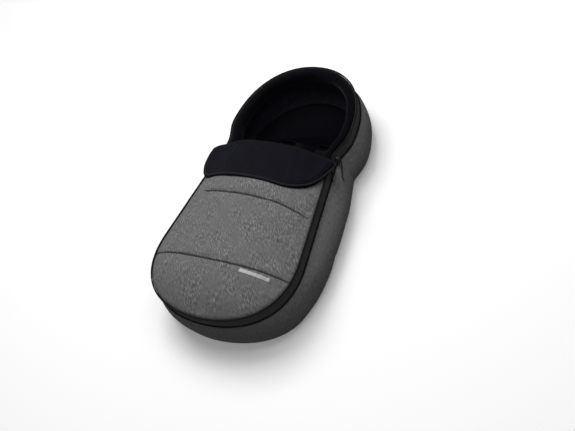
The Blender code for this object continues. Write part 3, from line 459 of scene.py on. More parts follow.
def wall_padding(a, t):
    """How far the wall's cloth bulges out between zip and floor, simulated every 10 mm round the bag."""
    edge = around(np.linspace(-HALF_ROUND, HALF_ROUND, 241)[:-1])
    down = np.linspace(0, 1, 21)
    off, z = wall_section(edge[1][:, None], down, 0.0)
    sewn = np.zeros(off.shape, bool)
    sewn[:, [0, -1]] = True
    move = filled(beside(edge, off, z), sewn, 0.004, 0.004, loop=True)
    out = move[..., 0] * edge[2][:, None] + move[..., 1] * edge[3][:, None]
    out = np.vstack([out, out[:1]]) * np.sin(math.pi * down) ** 0.5
    return sampled(out, ((a + HALF_ROUND) / (2 * HALF_ROUND))[:, None] + 0 * t, t[None, :] + 0 * a[:, None])


def wall_rings():
    """Rings of the wall: its face from the zip to the floor, and its inner side back up to the zip."""
    s = np.linspace(-HALF_ROUND, HALF_ROUND, 721)[:-1]
    edge = around(s)
    down = np.linspace(0, 1, 40)
    off_out, z_out = wall_section(edge[1][:, None], down, 0.0)
    off_in, z_in = wall_section(edge[1][:, None], down[::-1], WALL_THICK)
    pucker = 0.0009 * np.exp(-down * 7.0) * rumple(s[:, None], 0 * down, 3, 0.016)
    slack = 0.0012 * np.sin(math.pi * down) * rumple(s[:, None], down * 0.12, 5, 0.11, 1.6)
    off_out = off_out + pucker + slack + wall_padding(s, down)
    z_out[:, -1], z_in[:, 0] = 0.0, WALL_THICK - 0.0004
    return beside(edge, np.concatenate([off_out, off_in], axis=1), np.concatenate([z_out, z_in], axis=1))


def stands_for(nodes):
    """Hides the solids that a piece stands in for."""
    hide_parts(*nodes)


def on_wall(piece, nodes):
    """Fixes a piece to the bag itself."""
    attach(piece, "bag")
    stands_for(nodes)


melange = melange_finish("grey_melange", 0.62)
on_wall(skin("side_wall", wall_rings(), melange, closed=True), ["foot_gusset", "hood_gusset"])

# Back. A plain black woven underside, soft wadding and a fleece floor lie flat in the bag.
# Five harness slots are cut through them, each with a sewn sleeve.
SLOTS = ((0.065, 0.221, 0.052, 0), (-0.065, 0.221, 0.052, 0), (0.118, -0.029, 0.056, 90),
         (-0.118, -0.029, 0.056, 90), (0.0, -0.097, 0.052, 0))
SLOT_WIDTH = 0.012
TUFT = 260.0


def coloured(tree, shader, value, stops):
    """Colours a finish by value."""
    tree.links.new(ramp(tree, value, stops), shader.inputs["Base Color"])


def shaded(tree, shader, value, colour, *stops):
    """Colours a finish by value, in shades of one colour: a stop is its place and the shade's share."""
    coloured(tree, shader, value, [(place, tuple(c * share for c in colour)) for place, share in stops])


def waves(tree, vector, scale, axis="X", distortion=0.0, detail_scale=1.0, phase=0.0):
    """A wave texture's value: bands along one axis."""
    node = tree.nodes.new("ShaderNodeTexWave")
    node.bands_direction = axis
    for name, value in (("Scale", scale), ("Distortion", distortion), ("Detail Scale", detail_scale),
                        ("Phase Offset", phase)):
        node.inputs[name].default_value = value
    tree.links.new(vector, node.inputs["Vector"])
    return node.outputs["Fac"]


def woven_finish(name, colour, count=1400.0, relief=0.0002, roughness=0.9, output="UV", lift=0.5):
    """Plain weave: two crossed sets of threads, count to the metre, with a little uneven dye."""
    material, tree, shader = finish_of(name, colour, roughness, gloss=0.15)
    place = placed_coordinates(tree, output)
    weave = combined(tree, "MULTIPLY", waves(tree, place, count / 20.0, "X", 0.6, 2.0),
                     waves(tree, place, count / 20.0, "Y", 0.6, 2.0, 1.6))
    shade = weighted(tree, weave, 0.6, noise(tree, place, 60.0, 3.0), 0.4)
    shaded(tree, shader, shade, colour, (0.15, 1.0 - lift), (0.65, 1.0 + lift))
    bumped(tree, shader, weave, relief, 0.7)
    return material


def fleece_finish(name, colour):
    """Short brushed pile: curled tufts over fine fuzz, with a soft sheen at grazing angles."""
    material, tree, shader = finish_of(name, colour, 1.0, 0.05, 0.4, gloss=0.03)
    place = placed_coordinates(tree, "Object")
    curl = noise(tree, place, TUFT, 4.0, 0.65)
    fuzz = noise(tree, place, TUFT * 5.0, 2.0, 0.6)
    pile = weighted(tree, curl, 0.7, fuzz, 0.3)
    shaded(tree, shader, pile, colour, (0.32, 0.4), (0.68, 1.9))
    bumped(tree, shader, pile, 0.0016, 0.8)
    return material


fleece = fleece_finish("black_fleece_pile", (0.0024, 0.0023, 0.0036))
# The floor's fleece is the same black fleece made darker still: painted shade on the hood's floor.
painted_shade_floor_fleece = fleece_finish("black_fleece_floor_pile_painted_shade", (0.0017, 0.0015, 0.0027))
underside = woven_finish("black_plain_weave", (0.010, 0.010, 0.011), 1500.0, 0.00015, 0.85, "Object")


def layer(name, reach, section, material):
    """A flat layer in plan: section is (inset, z) pairs from the bottom's edge up to the top's."""
    s = np.linspace(0, HALF_ROUND, 260)
    right = np.stack(around(s), -1)
    left = np.stack(around(-s[-2:0:-1]), -1)
    x, y, nx, ny = np.vstack([right, left]).T
    out = reach(y)
    rings = [np.stack([x + nx * (out - inset), y + ny * (out - inset), np.full(x.shape, z)], -1)
             for inset, z in section]
    return skin(name, rings, material)


def slot_bar(x, y, length, turn):
    """A stadium-shaped bar that stands in a harness slot."""
    half, width = length / 2, SLOT_WIDTH / 2
    angle = np.radians(np.concatenate([np.linspace(-90, 90, 13), np.linspace(90, 270, 13)]))
    px = np.where(np.arange(26) < 13, half - width, width - half) + width * np.cos(angle)
    py = width * np.sin(angle)
    c, s = math.cos(math.radians(turn)), math.sin(math.radians(turn))
    ring = np.stack([x + px * c - py * s, y + px * s + py * c, 0 * px], -1)
    return skin("slot_bar", [ring + (0, 0, z) for z in (-0.01, 0.06)], underside)


def slotted(piece):
    """Cuts the five harness slots through a layer."""
    for place in SLOTS:
        bar = slot_bar(*place)
        cut = piece.modifiers.new("slot", "BOOLEAN")
        cut.operation, cut.solver, cut.object = "DIFFERENCE", "EXACT", bar
        bpy.context.view_layer.objects.active = piece
        with bpy.context.temp_override(object=piece, active_object=piece, selected_objects=[piece]):
            bpy.ops.object.modifier_apply(modifier=cut.name)
        bpy.data.objects.remove(bar)


def lining_reach(y):
    """Where the side wall's inner face is at the height of the fleece floor, less 2 mm."""
    t = np.linspace(0.5, 0.93, 60)
    off, z = wall_section(np.asarray(y)[:, None], t[None, :], 0.007)
    near = np.where((z > 0.027) & (z < 0.040), off, 1.0)
    return near.min(axis=1) - 0.0020


back = layer("back_cover", lambda y: graded(y, BASE) - 0.0003,
             [(0.0006, 0.0), (0.0, 0.0006), (0.0, 0.0019), (0.0006, 0.0025)], underside)
slotted(back)
on_wall(back, ["back_panel"])
fleece_floor = layer("fleece_floor", lining_reach,
                     [(0.0020, 0.0304), (0.0, 0.0318), (0.0, 0.0345), (0.0022, 0.0362)], painted_shade_floor_fleece)
slotted(fleece_floor)
on_wall(fleece_floor, ["back_lining"])

# Inner walls. Fleece lines the foot end; round the hood it is padded out towards the floor,
# with a soft crease half way up where the padding is sewn through.
LINING_END = 0.62
LINING_FACE, LINING_BACK = 0.0118, 0.0081
HOOD_START_Y = 0.117
HOOD_WEDGE = ((HOOD_START_Y, 0.0), (HOOD_Y, 0.55), (HEAD_Y, 1.0))


def lining_rings(s, wedge, crease, seed):
    """Rings of the wall's lining: wedge moves the inner face in by (t/end)^1.5, crease draws a line."""
    edge = around(s)
    t = np.linspace(0, LINING_END, 34)
    outer, z_outer = wall_section(edge[1][:, None], t, LINING_BACK)
    inner, z_inner = wall_section(edge[1][:, None], t, LINING_FACE)
    share = (t / LINING_END)[None, :]
    inner = inner - wedge * graded(edge[1], HOOD_WEDGE)[:, None] * share ** 1.5
    soft = rumple(s[:, None], 0.3 * share, seed, 0.055, 1.8)
    inner = inner - (0.0012 + crease) * soft * np.sin(math.pi * share) ** 0.6
    line = 0.62 + 0.05 * np.sin(s[:, None] * 9.0)
    inner = inner + crease * np.exp(-((share - line) / 0.07) ** 2) * 2.2
    z_inner[:, 0], z_inner[:, -1] = z_outer[:, 0], z_outer[:, -1]
    return beside(edge, np.concatenate([outer, inner[:, ::-1]], axis=1),
                  np.concatenate([z_outer, z_inner[:, ::-1]], axis=1))


start = reach_at(HOOD_START_Y)
# The hood's padded lining is the same black fleece as the foot's, made several times paler: painted light on
# the hood's inner wall.
painted_light_wall_fleece = fleece_finish("black_fleece_wall_pile_painted_light", (0.0110, 0.0107, 0.0165))
foot_lining = skin("foot_wall_fleece", lining_rings(np.linspace(-start, start, 380), 0.0, 0.0, 7), fleece)
hood_run = np.concatenate([np.linspace(start + 0.001, HALF_ROUND, 190),
                           np.linspace(-HALF_ROUND, -start - 0.001, 190)[1:]])
hood_lining = skin("hood_padded_lining", lining_rings(hood_run, 0.034, 0.0022, 9), painted_light_wall_fleece)
on_wall(foot_lining, ["foot_gusset_lining"])
on_wall(hood_lining, ["hood_gusset_lining"])

# Cover. Melange over wadding, arched across and sewn through along two cross channels. Each
# length swells between its seams, puckers beside the stitches and rolls over at the piping.
EDGE_Z = 0.150
CROWN = 0.056
TOE_RISE = 0.170
ARCH_POWER = 2.6
SEAM_LOW_Y, SEAM_HIGH_Y = -0.261, -0.063
FOLD_Y = 0.103
SPLIT_Y = -0.222
SEAM_LEAN = 0.0045
PADDING_Y = TOE_Y + 0.006
LEFT_FREE, LEFT_FADE = 0.044, 0.022
RIGHT_FREE, RIGHT_FADE = 0.004, 0.010
HIGH_BOW, HIGH_BOW_X, HIGH_BOW_REACH = 0.0098, 0.090, 0.075
LOWER_JOINT = ("bag", "cover_middle", SEAM_LOW_Y)
UPPER_JOINT = ("cover_middle", "cover_top", SEAM_HIGH_Y)
LOW_BOW = ((-0.190, -0.100, -0.050, 0.000, 0.055, 0.085, 0.110, 0.130, 0.190),
           (-0.0015, -0.0042, -0.0062, -0.0068, -0.0070, -0.0062, -0.0056, -0.0040, -0.0030))


def half_width(y):
    """Half the cover's width at a place along the bag."""
    return np.interp(y, EDGE_Y, EDGE_X)


def arch(x, y):
    """The cover's arch across, from 0 at its edge to 1 in the middle: 1 - (|x|/half)^2.6."""
    return 1 - np.clip(np.abs(x) / np.maximum(half_width(y), 1e-4), 0, 1) ** ARCH_POWER


def crown(x, y):
    """The cover's height without its padding: EDGE_Z + arch (1 - (1 - toe)^2.6) CROWN."""
    toe = np.clip((y - TOE_Y) / TOE_RISE, 0, 1)
    return EDGE_Z + arch(x, y) * CROWN * (1 - (1 - toe) ** ARCH_POWER)


def nearest(x, y, line_x, line_y):
    """The number of the line's point that is nearest in plan to each place."""
    places = np.stack([x.ravel(), y.ravel()], -1)
    found = [np.argmin((block[:, :1] - line_x) ** 2 + (block[:, 1:] - line_y) ** 2, axis=1)
             for block in np.array_split(places, len(places) // 4000 + 1)]
    return np.concatenate(found).reshape(x.shape)


def inside_edge(x, y):
    """Distance in plan from the cover's edge, measured along the nearest edge point's normal."""
    qx, qy, nx, ny = around(np.linspace(-HALF_ROUND, HALF_ROUND, 2400))
    k = nearest(x, y, qx, qy)
    return np.maximum((qx[k] - x) * nx[k] + (qy[k] - y) * ny[k], 0.0)


def seam_place(x, seam):
    """Where a sewn channel lies along the bag: it wanders, and is drawn towards the toe where it bows."""
    low = np.interp(x, *LOW_BOW)
    high = -HIGH_BOW * np.clip((x - HIGH_BOW_X) / HIGH_BOW_REACH, 0, 1.3) ** 1.35
    return seam + 0.0008 * np.sin(x * 14.0 + seam * 50.0) + (low if seam == SEAM_LOW_Y else high)


def sewn_in(d, slope):
    """Depth of a sewn channel: a narrow cleft, a short slope on the hood's side, a long one on the toe's."""
    cleft = 0.0056 * np.exp(-(d / 0.0016) ** 2)
    toe_side, hood_side = np.exp(np.minimum(d, 0) / 0.0220), np.exp(-np.maximum(d, 0) / 0.0080)
    return cleft + slope * np.where(d < 0, toe_side, hood_side)


def cover_padding():
    """How far the cloth rises between the cover's edge and its two seams, on a grid about 5 mm apart."""
    y = np.linspace(PADDING_Y, FOLD_Y, 104)[:, None]
    across_cover = np.linspace(-1, 1, 81)[None, :]
    x = half_width(y) * across_cover
    y = y + 0 * x
    points = np.stack([x, y, crown(x, y)], -1)
    edge = (np.abs(across_cover) > 0.999) | (y < PADDING_Y + 0.001) | (y > FOLD_Y - 0.001)
    seams = np.abs(y - seam_place(x, SEAM_LOW_Y)) < 0.003
    seams |= (np.abs(y - seam_place(x, SEAM_HIGH_Y)) < 0.003) & (x > -0.125) & (x < 0.165)
    return filled(points, edge | seams, 0.005, 0.006)[..., 2]


PADDING = cover_padding()


def quilt_relief(x, y, d):
    """Relief over the crown: swelling, sewn valleys with puckers, a rolled edge and soft unevenness."""
    from_low, from_high = y - seam_place(x, SEAM_LOW_Y), y - seam_place(x, SEAM_HIGH_Y)
    low, high = np.abs(from_low), np.abs(from_high)
    held = np.clip(np.where(x < 0, (d - LEFT_FREE) / LEFT_FADE, (d - RIGHT_FREE) / RIGHT_FADE), 0, 1)
    swell = sampled(PADDING, (y - PADDING_Y) / (FOLD_Y - PADDING_Y), 0.5 + 0.5 * x / half_width(y))
    valley = sewn_in(from_low, 0.0020) + held * sewn_in(from_high, 0.0034)
    near = np.exp(-low / 0.012) + held * np.exp(-high / 0.012)
    pucker = 0.0008 * near * (1 - np.exp(-np.minimum(low, high) / 0.0025)) * rumple(x, y * 0.25, 11, 0.013)
    roll = 0.0040 * np.sqrt(np.clip(1 - (1 - np.clip(d / 0.006, 0, 1)) ** 2, 0, 1)) - 0.0034
    gather = 0.0009 * np.exp(-d / 0.010) * (1 - np.exp(-d / 0.002)) * rumple(x + y, x - y, 17, 0.016)
    uneven = 0.0016 * np.clip(d / 0.05, 0, 1) * rumple(x, y, 23, 0.105, 0.8)
    return swell - valley + pucker + roll + gather + uneven


def cover_rings(s, inset, top, bottom):
    """Rings across the cover at places s along its edge: the top from left to right, the bottom back."""
    y = around(s)[1][:, None]
    sides = []
    for over, height in ((np.linspace(-1, 1, 181), top), (np.linspace(1, -1, 49), bottom)):
        x = (half_width(y) - inset) * np.sin(math.pi / 2 * over)
        sides.append(np.stack(np.broadcast_arrays(x, y, height(x, y + 0 * x)), -1))
    return np.concatenate(sides, axis=1)


def cover_top_height(x, y):
    """Height of the cover's face."""
    return crown(x, y) + quilt_relief(x, y, inside_edge(x, y))


def panel_under(x, y):
    """Height of the wadding's underside."""
    return crown(x, y) - 0.0060 - 0.0030 * arch(x, y)


def lining_face(x, y):
    """Height of the lining's upper face, 1 mm under the wadding."""
    return panel_under(x, y) - 0.001


def lining_back(x, y):
    """Height of the lining's pile, 3 mm lower."""
    return panel_under(x, y) - 0.004


def rows_between(low, high, seam):
    """Places along the edge, 3 mm apart and 0.5 mm near a seam, with both ends kept."""
    middle = reach_at(seam - SEAM_LEAN)
    places = [low]
    while places[-1] < high:
        far = abs(places[-1] - middle)
        places.append(places[-1] + (0.0005 if far < 0.012 else 0.0012 if far < 0.022 else 0.0030))
    places = np.array(places)
    return low + (places - low) * (high - low) / (places[-1] - low)


cover_melange = melange_finish("grey_melange_cover", 0.40)
split, fold = reach_at(SPLIT_Y), reach_at(FOLD_Y - 0.0003)


def plan_uv(piece):
    """Lays the UV out in plan, in metres, so that the fibres run the same way over every length."""
    mesh = piece.data
    points = np.empty(len(mesh.vertices) * 3)
    mesh.vertices.foreach_get("co", points)
    corner = np.empty(len(mesh.loops), int)
    mesh.loops.foreach_get("vertex_index", corner)
    mesh.uv_layers[0].data.foreach_set("uv", points.reshape(-1, 3)[corner, :2].ravel())


def across_seam(piece, a, b, seam):
    """Bakes a length of cloth's placing into its mesh."""
    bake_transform(piece)


def cover_piece(name, rings, material, joint, nodes):
    """One length of the cover, or of its lining."""
    piece = skin(name, rings, material)
    plan_uv(piece)
    across_seam(piece, *joint)
    stands_for(nodes)


for part, joint, low, high, nodes in (("lower", LOWER_JOINT, 0.004, split, ["cover_foot", "cover_middle"]),
                                      ("upper", UPPER_JOINT, split, fold, ["cover_top"])):
    rings = cover_rings(rows_between(low, high, joint[2]), 0.0003, cover_top_height, panel_under)
    cover_piece(f"cover_{part}", rings, cover_melange, joint, nodes)
    rings = cover_rings(spaced(low, high, 0.005), 0.006, lining_face, lining_back)
    cover_piece(f"cover_lining_{part}", rings, fleece, joint, [f"{node}_lining" for node in nodes])

# Stitches. Thread shows as short dashes at the bottom of the two sewn channels. Its black is painted
# shade for the channels' creases; it lies on the cover's face.
DASH, DASH_PITCH = 0.0034, 0.0040


def stitch_run(seam, left, right):
    """Rings of each dash of a line of stitches across the cover, 3.4 mm long every 4 mm."""
    half = float(half_width(seam))
    starts = np.arange(left - half, half - right, DASH_PITCH)
    share = np.linspace(0, 1, 6)
    x = starts[:, None] + DASH * share
    y = seam_place(x, seam)
    z = cover_top_height(x, y) + 0.0001 + 0.0003 * np.sin(math.pi * share)
    radius = 0.0006 * np.sin(math.pi * (0.12 + 0.76 * share))
    angle = np.linspace(0, 2 * math.pi, 6, endpoint=False)
    ring = np.stack([0 * angle, np.cos(angle), np.sin(angle)], -1)
    return np.stack([x, y, z], -1)[:, :, None] + radius[None, :, None, None] * ring


def dashes(name, runs, material):
    """One mesh of many short closed tubes."""
    count, rows, points = runs.shape[:3]
    step = rows * points
    tube = grid_quads(rows, points, wrap_columns=True)
    tube += [list(range(points))[::-1], list(range(step - points, step))]
    faces = [[k * step + corner for corner in face] for k in range(count) for face in tube]
    piece = shape(name, runs.reshape(-1, 3).tolist(), faces)
    smoothed(piece, material)
    return piece


def thread_with_painted_shade_finish():
    """Sewing thread, two plies twisted together, made black as painted shade along the sewn channels'
    creases.
    """
    material, tree, shader = finish_of("black_thread_painted_crease_shade", (0.008, 0.008, 0.009), 0.7, gloss=0.1)
    ply = noise(tree, placed_coordinates(tree, "Object", (2200.0, 700.0, 700.0), 35.0), 1.0, 1.0)
    coloured(tree, shader, ply, [(0.35, (0.005, 0.005, 0.006)), (0.65, (0.012, 0.012, 0.013))])
    return material


thread = thread_with_painted_shade_finish()
across_seam(dashes("stitches_lower", stitch_run(SEAM_LOW_Y, 0.006, 0.008), thread), *LOWER_JOINT)
across_seam(dashes("stitches_upper", stitch_run(SEAM_HIGH_Y, 0.056, 0.010), thread), *UPPER_JOINT)

# Zip band. Two woven tapes with helical coils run round the bag, one on the wall and one on the
# cover, with a corded piping along each outer edge. On the cover each comes in three lengths.
COIL_Z = 0.132
WALL_EDGE_Z = 0.1144
WALL_TAPE, COVER_TAPE = (0.1143, 0.1317), (0.1323, 0.1497)
WALL_COIL, COVER_COIL = (0.1278, 0.1317), (0.1323, 0.1362)
TAPE_NEAR, TAPE_FAR = 0.0004, 0.0016
COIL_NEAR, COIL_FAR, COIL_WIRE, COIL_PITCH = -0.0029, -0.0003, 0.00030, 0.0016
STOP_Y = 0.108
ZIP_TOP_Y = 0.089
PIPING_OFF = 0.0035
PIPING_R = 0.0022


def strip_rings(s, far, ends, bow):
    """Rings of a woven strip on edge between two heights: rounded corners, its face bowed out by bow."""
    low, high = ends
    up = np.linspace(0, 1, 7)
    z = np.concatenate([low + (high - low) * up, high - (high - low) * up])
    face = np.concatenate([np.full(7, far), np.full(7, TAPE_NEAR)])
    soft = np.tile(np.array([0.00045, 0.0, 0, 0, 0, 0, 0.00045]), 2)
    arc = np.concatenate([4 * up * (1 - up), 4 * up * (1 - up)]) * bow
    return beside(around(s), face + arc + np.where(np.arange(14) < 7, -soft, soft), z)


def piping_rings(s, off, z):
    """Rings of a round corded edge, drawn in very slightly at each stitch."""
    angle = np.linspace(0, 2 * math.pi, 10, endpoint=False)
    size = PIPING_R * (1 + 0.05 * rumple(s, 0 * s, 31, 0.02))[:, None]
    return beside(around(s), off + size * np.cos(angle), z + size * np.sin(angle))


def tube_rings(path, radius, level, sides):
    """Rings of even width along a path: a ring's first axis is square to the path and to level."""
    along = np.gradient(path, axis=0)
    along /= np.linalg.norm(along, axis=1, keepdims=True)
    side = np.cross(along, level)
    side /= np.linalg.norm(side, axis=1, keepdims=True)
    other = np.cross(along, side)
    turn = np.linspace(0, 2 * math.pi, sides, endpoint=False)[None, :, None]
    return path[:, None] + radius * (np.cos(turn) * side[:, None] + np.sin(turn) * other[:, None])


def tape_piece(name, s_low, s_high, ends):
    """A zip's woven tape."""
    return skin(name, strip_rings(spaced(s_low, s_high), TAPE_FAR, ends, 0.0002), webbing)


def coil_piece(name, s_low, s_high, ends):
    """A coil zip's half chain: one wire wound as a flat helix, 1.6 mm to the turn."""
    turns = abs(s_high - s_low) / COIL_PITCH
    count = int(turns * 10)
    phase = np.linspace(0, 2 * math.pi * turns, count)
    x, y, nx, ny = around(np.linspace(s_low, s_high, count))
    off = (COIL_NEAR + COIL_FAR) / 2 + (COIL_FAR - COIL_NEAR) / 2 * np.cos(phase)
    z = (ends[0] + ends[1]) / 2 + ((ends[1] - ends[0]) / 2 - COIL_WIRE) * np.sin(phase)
    path = np.stack([x + nx * off, y + ny * off, z], -1)
    return skin(name, tube_rings(path, COIL_WIRE, np.stack([-ny, nx, 0 * nx], -1), 5), nylon)


def piping_piece(name, s_low, s_high, z):
    """A corded edge of woven cloth."""
    return skin(name, piping_rings(spaced(s_low, s_high, 0.003), PIPING_OFF, z), edge_cloth)


def moulded_finish(name, colour, roughness):
    """Moulded nylon: satin, with a fine even grain and faint wear on its high spots."""
    material, tree, shader = finish_of(name, colour, roughness)
    place = placed_coordinates(tree, "Object")
    grain = noise(tree, place, 2600.0, 2.0)
    wear = noise(tree, place, 240.0, 3.0)
    shaded(tree, shader, wear, colour, (0.3, 0.75), (0.75, 1.5))
    bumped(tree, shader, grain, 0.00006, 0.5)
    return material


nylon = moulded_finish("black_nylon_monofilament", (0.012, 0.012, 0.013), 0.42)
webbing = woven_finish("black_webbing_weave", (0.0700, 0.0700, 0.0715), roughness=0.85, lift=0.35)
edge_cloth = woven_finish("black_edge_weave", (0.0040, 0.0040, 0.0042))


def cover_edge_piece(kind, maker, z):
    """Makes one kind of edge strip along the cover in its three lengths: toe, right side, left side."""
    toe = maker(f"{kind}_toe", -split, split, z)
    across_seam(toe, *LOWER_JOINT)
    stands_for([f"{kind}_foot"])
    for side, sign in (("right", 1), ("left", -1)):
        piece = maker(f"{kind}_side_{side}", sign * split, sign * reach_at(ZIP_TOP_Y), z)
        across_seam(piece, *UPPER_JOINT)
        stands_for([f"{kind}_middle_{side}", f"{kind}_top_{side}"])


tape_end, coil_end = reach_at(STOP_Y + 0.003), reach_at(STOP_Y - 0.0003)
on_wall(tape_piece("wall_zip_tape", -tape_end, tape_end, WALL_TAPE), ["zip_tape_gusset"])
on_wall(coil_piece("wall_zip_coil", -coil_end, coil_end, WALL_COIL), ["zip_coil_gusset"])
on_wall(piping_piece("wall_piping", -start, start, WALL_EDGE_Z), ["gusset_piping"])
cover_edge_piece("zip_tape", tape_piece, COVER_TAPE)
cover_edge_piece("zip_coil", coil_piece, COVER_COIL)
cover_edge_piece("piping", piping_piece, EDGE_Z)

# Hood. A soft fleece roll stands inside a stiff woven band with piping along both edges. The
# drawcord in the roll's channel gathers it a little.
ROLL_OFF, ROLL_Z = -0.0141, 0.1352
ROLL_WIDE, ROLL_TALL = 0.0135, 0.0186
HOOD_BAND, HOOD_BAND_FAR = (0.1143, 0.1498), 0.0020


def hood_places(step):
    """Places round the hood from the right side over the head to the left side."""
    right = spaced(start + 0.0003, HALF_ROUND, step)
    return np.concatenate([right, -right[-2::-1]])


def roll_rings(s):
    """Rings of the roll: a rounded pad, gathered by the cord along its length."""
    angle = np.linspace(0, 2 * math.pi, 44, endpoint=False)[None, :]
    gather = rumple(s, 0 * s, 41, 0.019)[:, None] * (0.4 + 0.6 * np.sin(angle) ** 2)
    size = 1 + 0.030 * gather + 0.05 * rumple(s[:, None], angle * 0.012, 43, 0.06)
    cosine, sine = np.cos(angle), np.sin(angle)
    squared = (np.abs(cosine) ** 2.6 + np.abs(sine) ** 2.6) ** (-1 / 2.6)
    out = np.minimum(ROLL_OFF + ROLL_WIDE * size * squared * cosine, -0.0007)
    return beside(around(s), out, ROLL_Z + ROLL_TALL * size * squared * sine)


on_wall(skin("hood_roll", roll_rings(hood_places(0.0025)), fleece), ["hood_rim"])
on_wall(skin("hood_edge_band", strip_rings(hood_places(0.003), HOOD_BAND_FAR, HOOD_BAND, 0.0006), webbing),
        ["hood_band"])
for edge, z in (("upper", EDGE_Z), ("lower", WALL_EDGE_Z)):
    rings = piping_rings(hood_places(0.003), PIPING_OFF + 0.0004, z)
    on_wall(skin(f"hood_edge_piping_{edge}", rings, edge_cloth), [f"hood_piping_{edge}"])

# Cuff. A padded navy flap turned down over the cover's end, bound along its free edge. Its right
# corner is cut to a wide curve and hangs over the band, and its left corner is tighter.
CUFF_TOP_Y, CUFF_HEM_Y = 0.105, -0.009
CUFF_RIGHT = (((0.170, CUFF_TOP_Y), (0.188, CUFF_TOP_Y), (0.195, 0.102), (0.194, 0.093)),
              ((0.194, 0.093), (0.182, 0.050), (0.168, CUFF_HEM_Y), (0.075, CUFF_HEM_Y)))
CUFF_LEFT = (((-0.174, CUFF_TOP_Y), (-0.186, CUFF_TOP_Y), (-0.195, 0.101), (-0.199, 0.090)),
             ((-0.199, 0.090), (-0.211, 0.045), (-0.196, CUFF_HEM_Y), (-0.140, CUFF_HEM_Y)))


def navy_finish():
    """Smooth brushed navy softshell: fine nap with a cool sheen over an almost black weave."""
    colour = (0.0046, 0.0044, 0.0078)
    material, tree, shader = finish_of("navy_softshell", colour, 0.85, 0.03, 0.4, gloss=0.06)
    shader.inputs["Sheen Tint"].default_value = (0.55, 0.55, 0.90, 1.0)
    place = placed_coordinates(tree, "UV")
    nap = noise(tree, place, 900.0, 3.0, 0.6)
    shade = weighted(tree, nap, 0.5, noise(tree, place, 26.0, 3.0), 0.5)
    coloured(tree, shader, shade, [(0.36, (0.0040, 0.0038, 0.0068)), (0.64, (0.0056, 0.0054, 0.0094))])
    bumped(tree, shader, nap, 0.0003, 0.5)
    return material


navy = navy_finish()


def cuff_side(curves):
    """Points down one side of the flap, from its fold to its hem."""
    corner, side = bezier(curves[0], np.linspace(0, 1, 40)), bezier(curves[1], np.linspace(0, 1, 120))
    return np.vstack([corner[:-1], side])


CUFF_SIDES = cuff_side(CUFF_LEFT), cuff_side(CUFF_RIGHT)


def cuff_span(y):
    """Where the flap's left and right sides are at places along the bag."""
    return [np.interp(-y, -side[:, 1], side[:, 0]) for side in CUFF_SIDES]


def down_flap(y):
    """How far down the flap a place is, from 0 at its fold to 1 at its hem."""
    return (CUFF_TOP_Y - y) / (CUFF_TOP_Y - CUFF_HEM_Y)


def sagged(x, y):
    """Where a point of the flap's plan hangs: its hem drops by 5 mm towards the right corner."""
    return y - 0.0050 * np.clip(down_flap(y), 0, 1) ** 2 * np.exp(-((x - 0.120) / 0.055) ** 2)


def cuff_rest(x, y):
    """Where the flap rests: on the cover's arch, then on a slant that bridges the piping.

    The two heights a and b are joined by s log(exp(a/s) + exp(b/s)), a maximum rounded off over s.
    """
    reach = np.abs(x) / half_width(y)
    face = (CROWN + 0.0035) * arch(x, y)
    slant = 0.0012 + 0.0255 * np.clip((1.14 - reach) / 0.38, 0, 1)
    soft = 0.0012
    return EDGE_Z + 0.0010 + soft * np.logaddexp(face / soft, slant / soft)


def cuff_outline():
    """The flap's whole outline, closed along the fold, at an even step: x and y."""
    left, right = CUFF_SIDES
    _, x, y = evenly(np.vstack([left, right[::-1], left[:1]]), 1200)
    return x, sagged(x, y)


def cuff_edge(x, y):
    """Distance in plan from the flap's outline."""
    line_x, line_y = cuff_outline()
    k = nearest(x, y, line_x, line_y)
    return np.hypot(line_x[k] - x, line_y[k] - y)


def cuff_grid(v, u, painted_shadow_margin=0.0):
    """Places v down the flap and u across it, with its hem and sides let out by grow: x and y."""
    y = CUFF_TOP_Y + (CUFF_HEM_Y - CUFF_TOP_Y) * v
    low, high = cuff_span(y)
    low, high = low - painted_shadow_margin * v, high + painted_shadow_margin * v
    x = low + (high - low) * u
    return x, sagged(x, y) - painted_shadow_margin * v


def cuff_rings(v, top, bottom, columns=161, under=61, painted_shadow_margin=0.0):
    """Rings across the flap from its fold to its hem: the face from left to right, the back again."""
    sides = []
    for over, height in ((np.linspace(-1, 1, columns), top), (np.linspace(1, -1, under), bottom)):
        x, y = cuff_grid(v[:, None], 0.5 + 0.5 * np.sin(math.pi / 2 * over), painted_shadow_margin)
        sides.append(np.stack([x, y, height(x, y)], -1))
    return np.concatenate(sides, axis=1)


def cuff_padding():
    """How far the flap's face rises inside its bound edge and its fold, on a grid 4 to 6 mm apart."""
    v, u = np.linspace(0, 1, 29)[:, None], np.linspace(0, 1, 81)[None, :]
    x, y = cuff_grid(v, u)
    sewn = (v < 0.001) | (v > 0.999) | (u < 0.001) | (u > 0.999)
    return filled(np.stack([x, y, cuff_rest(x, y)], -1), sewn, 0.004, 0.003)[..., 2]


CUFF_PADDING = cuff_padding()


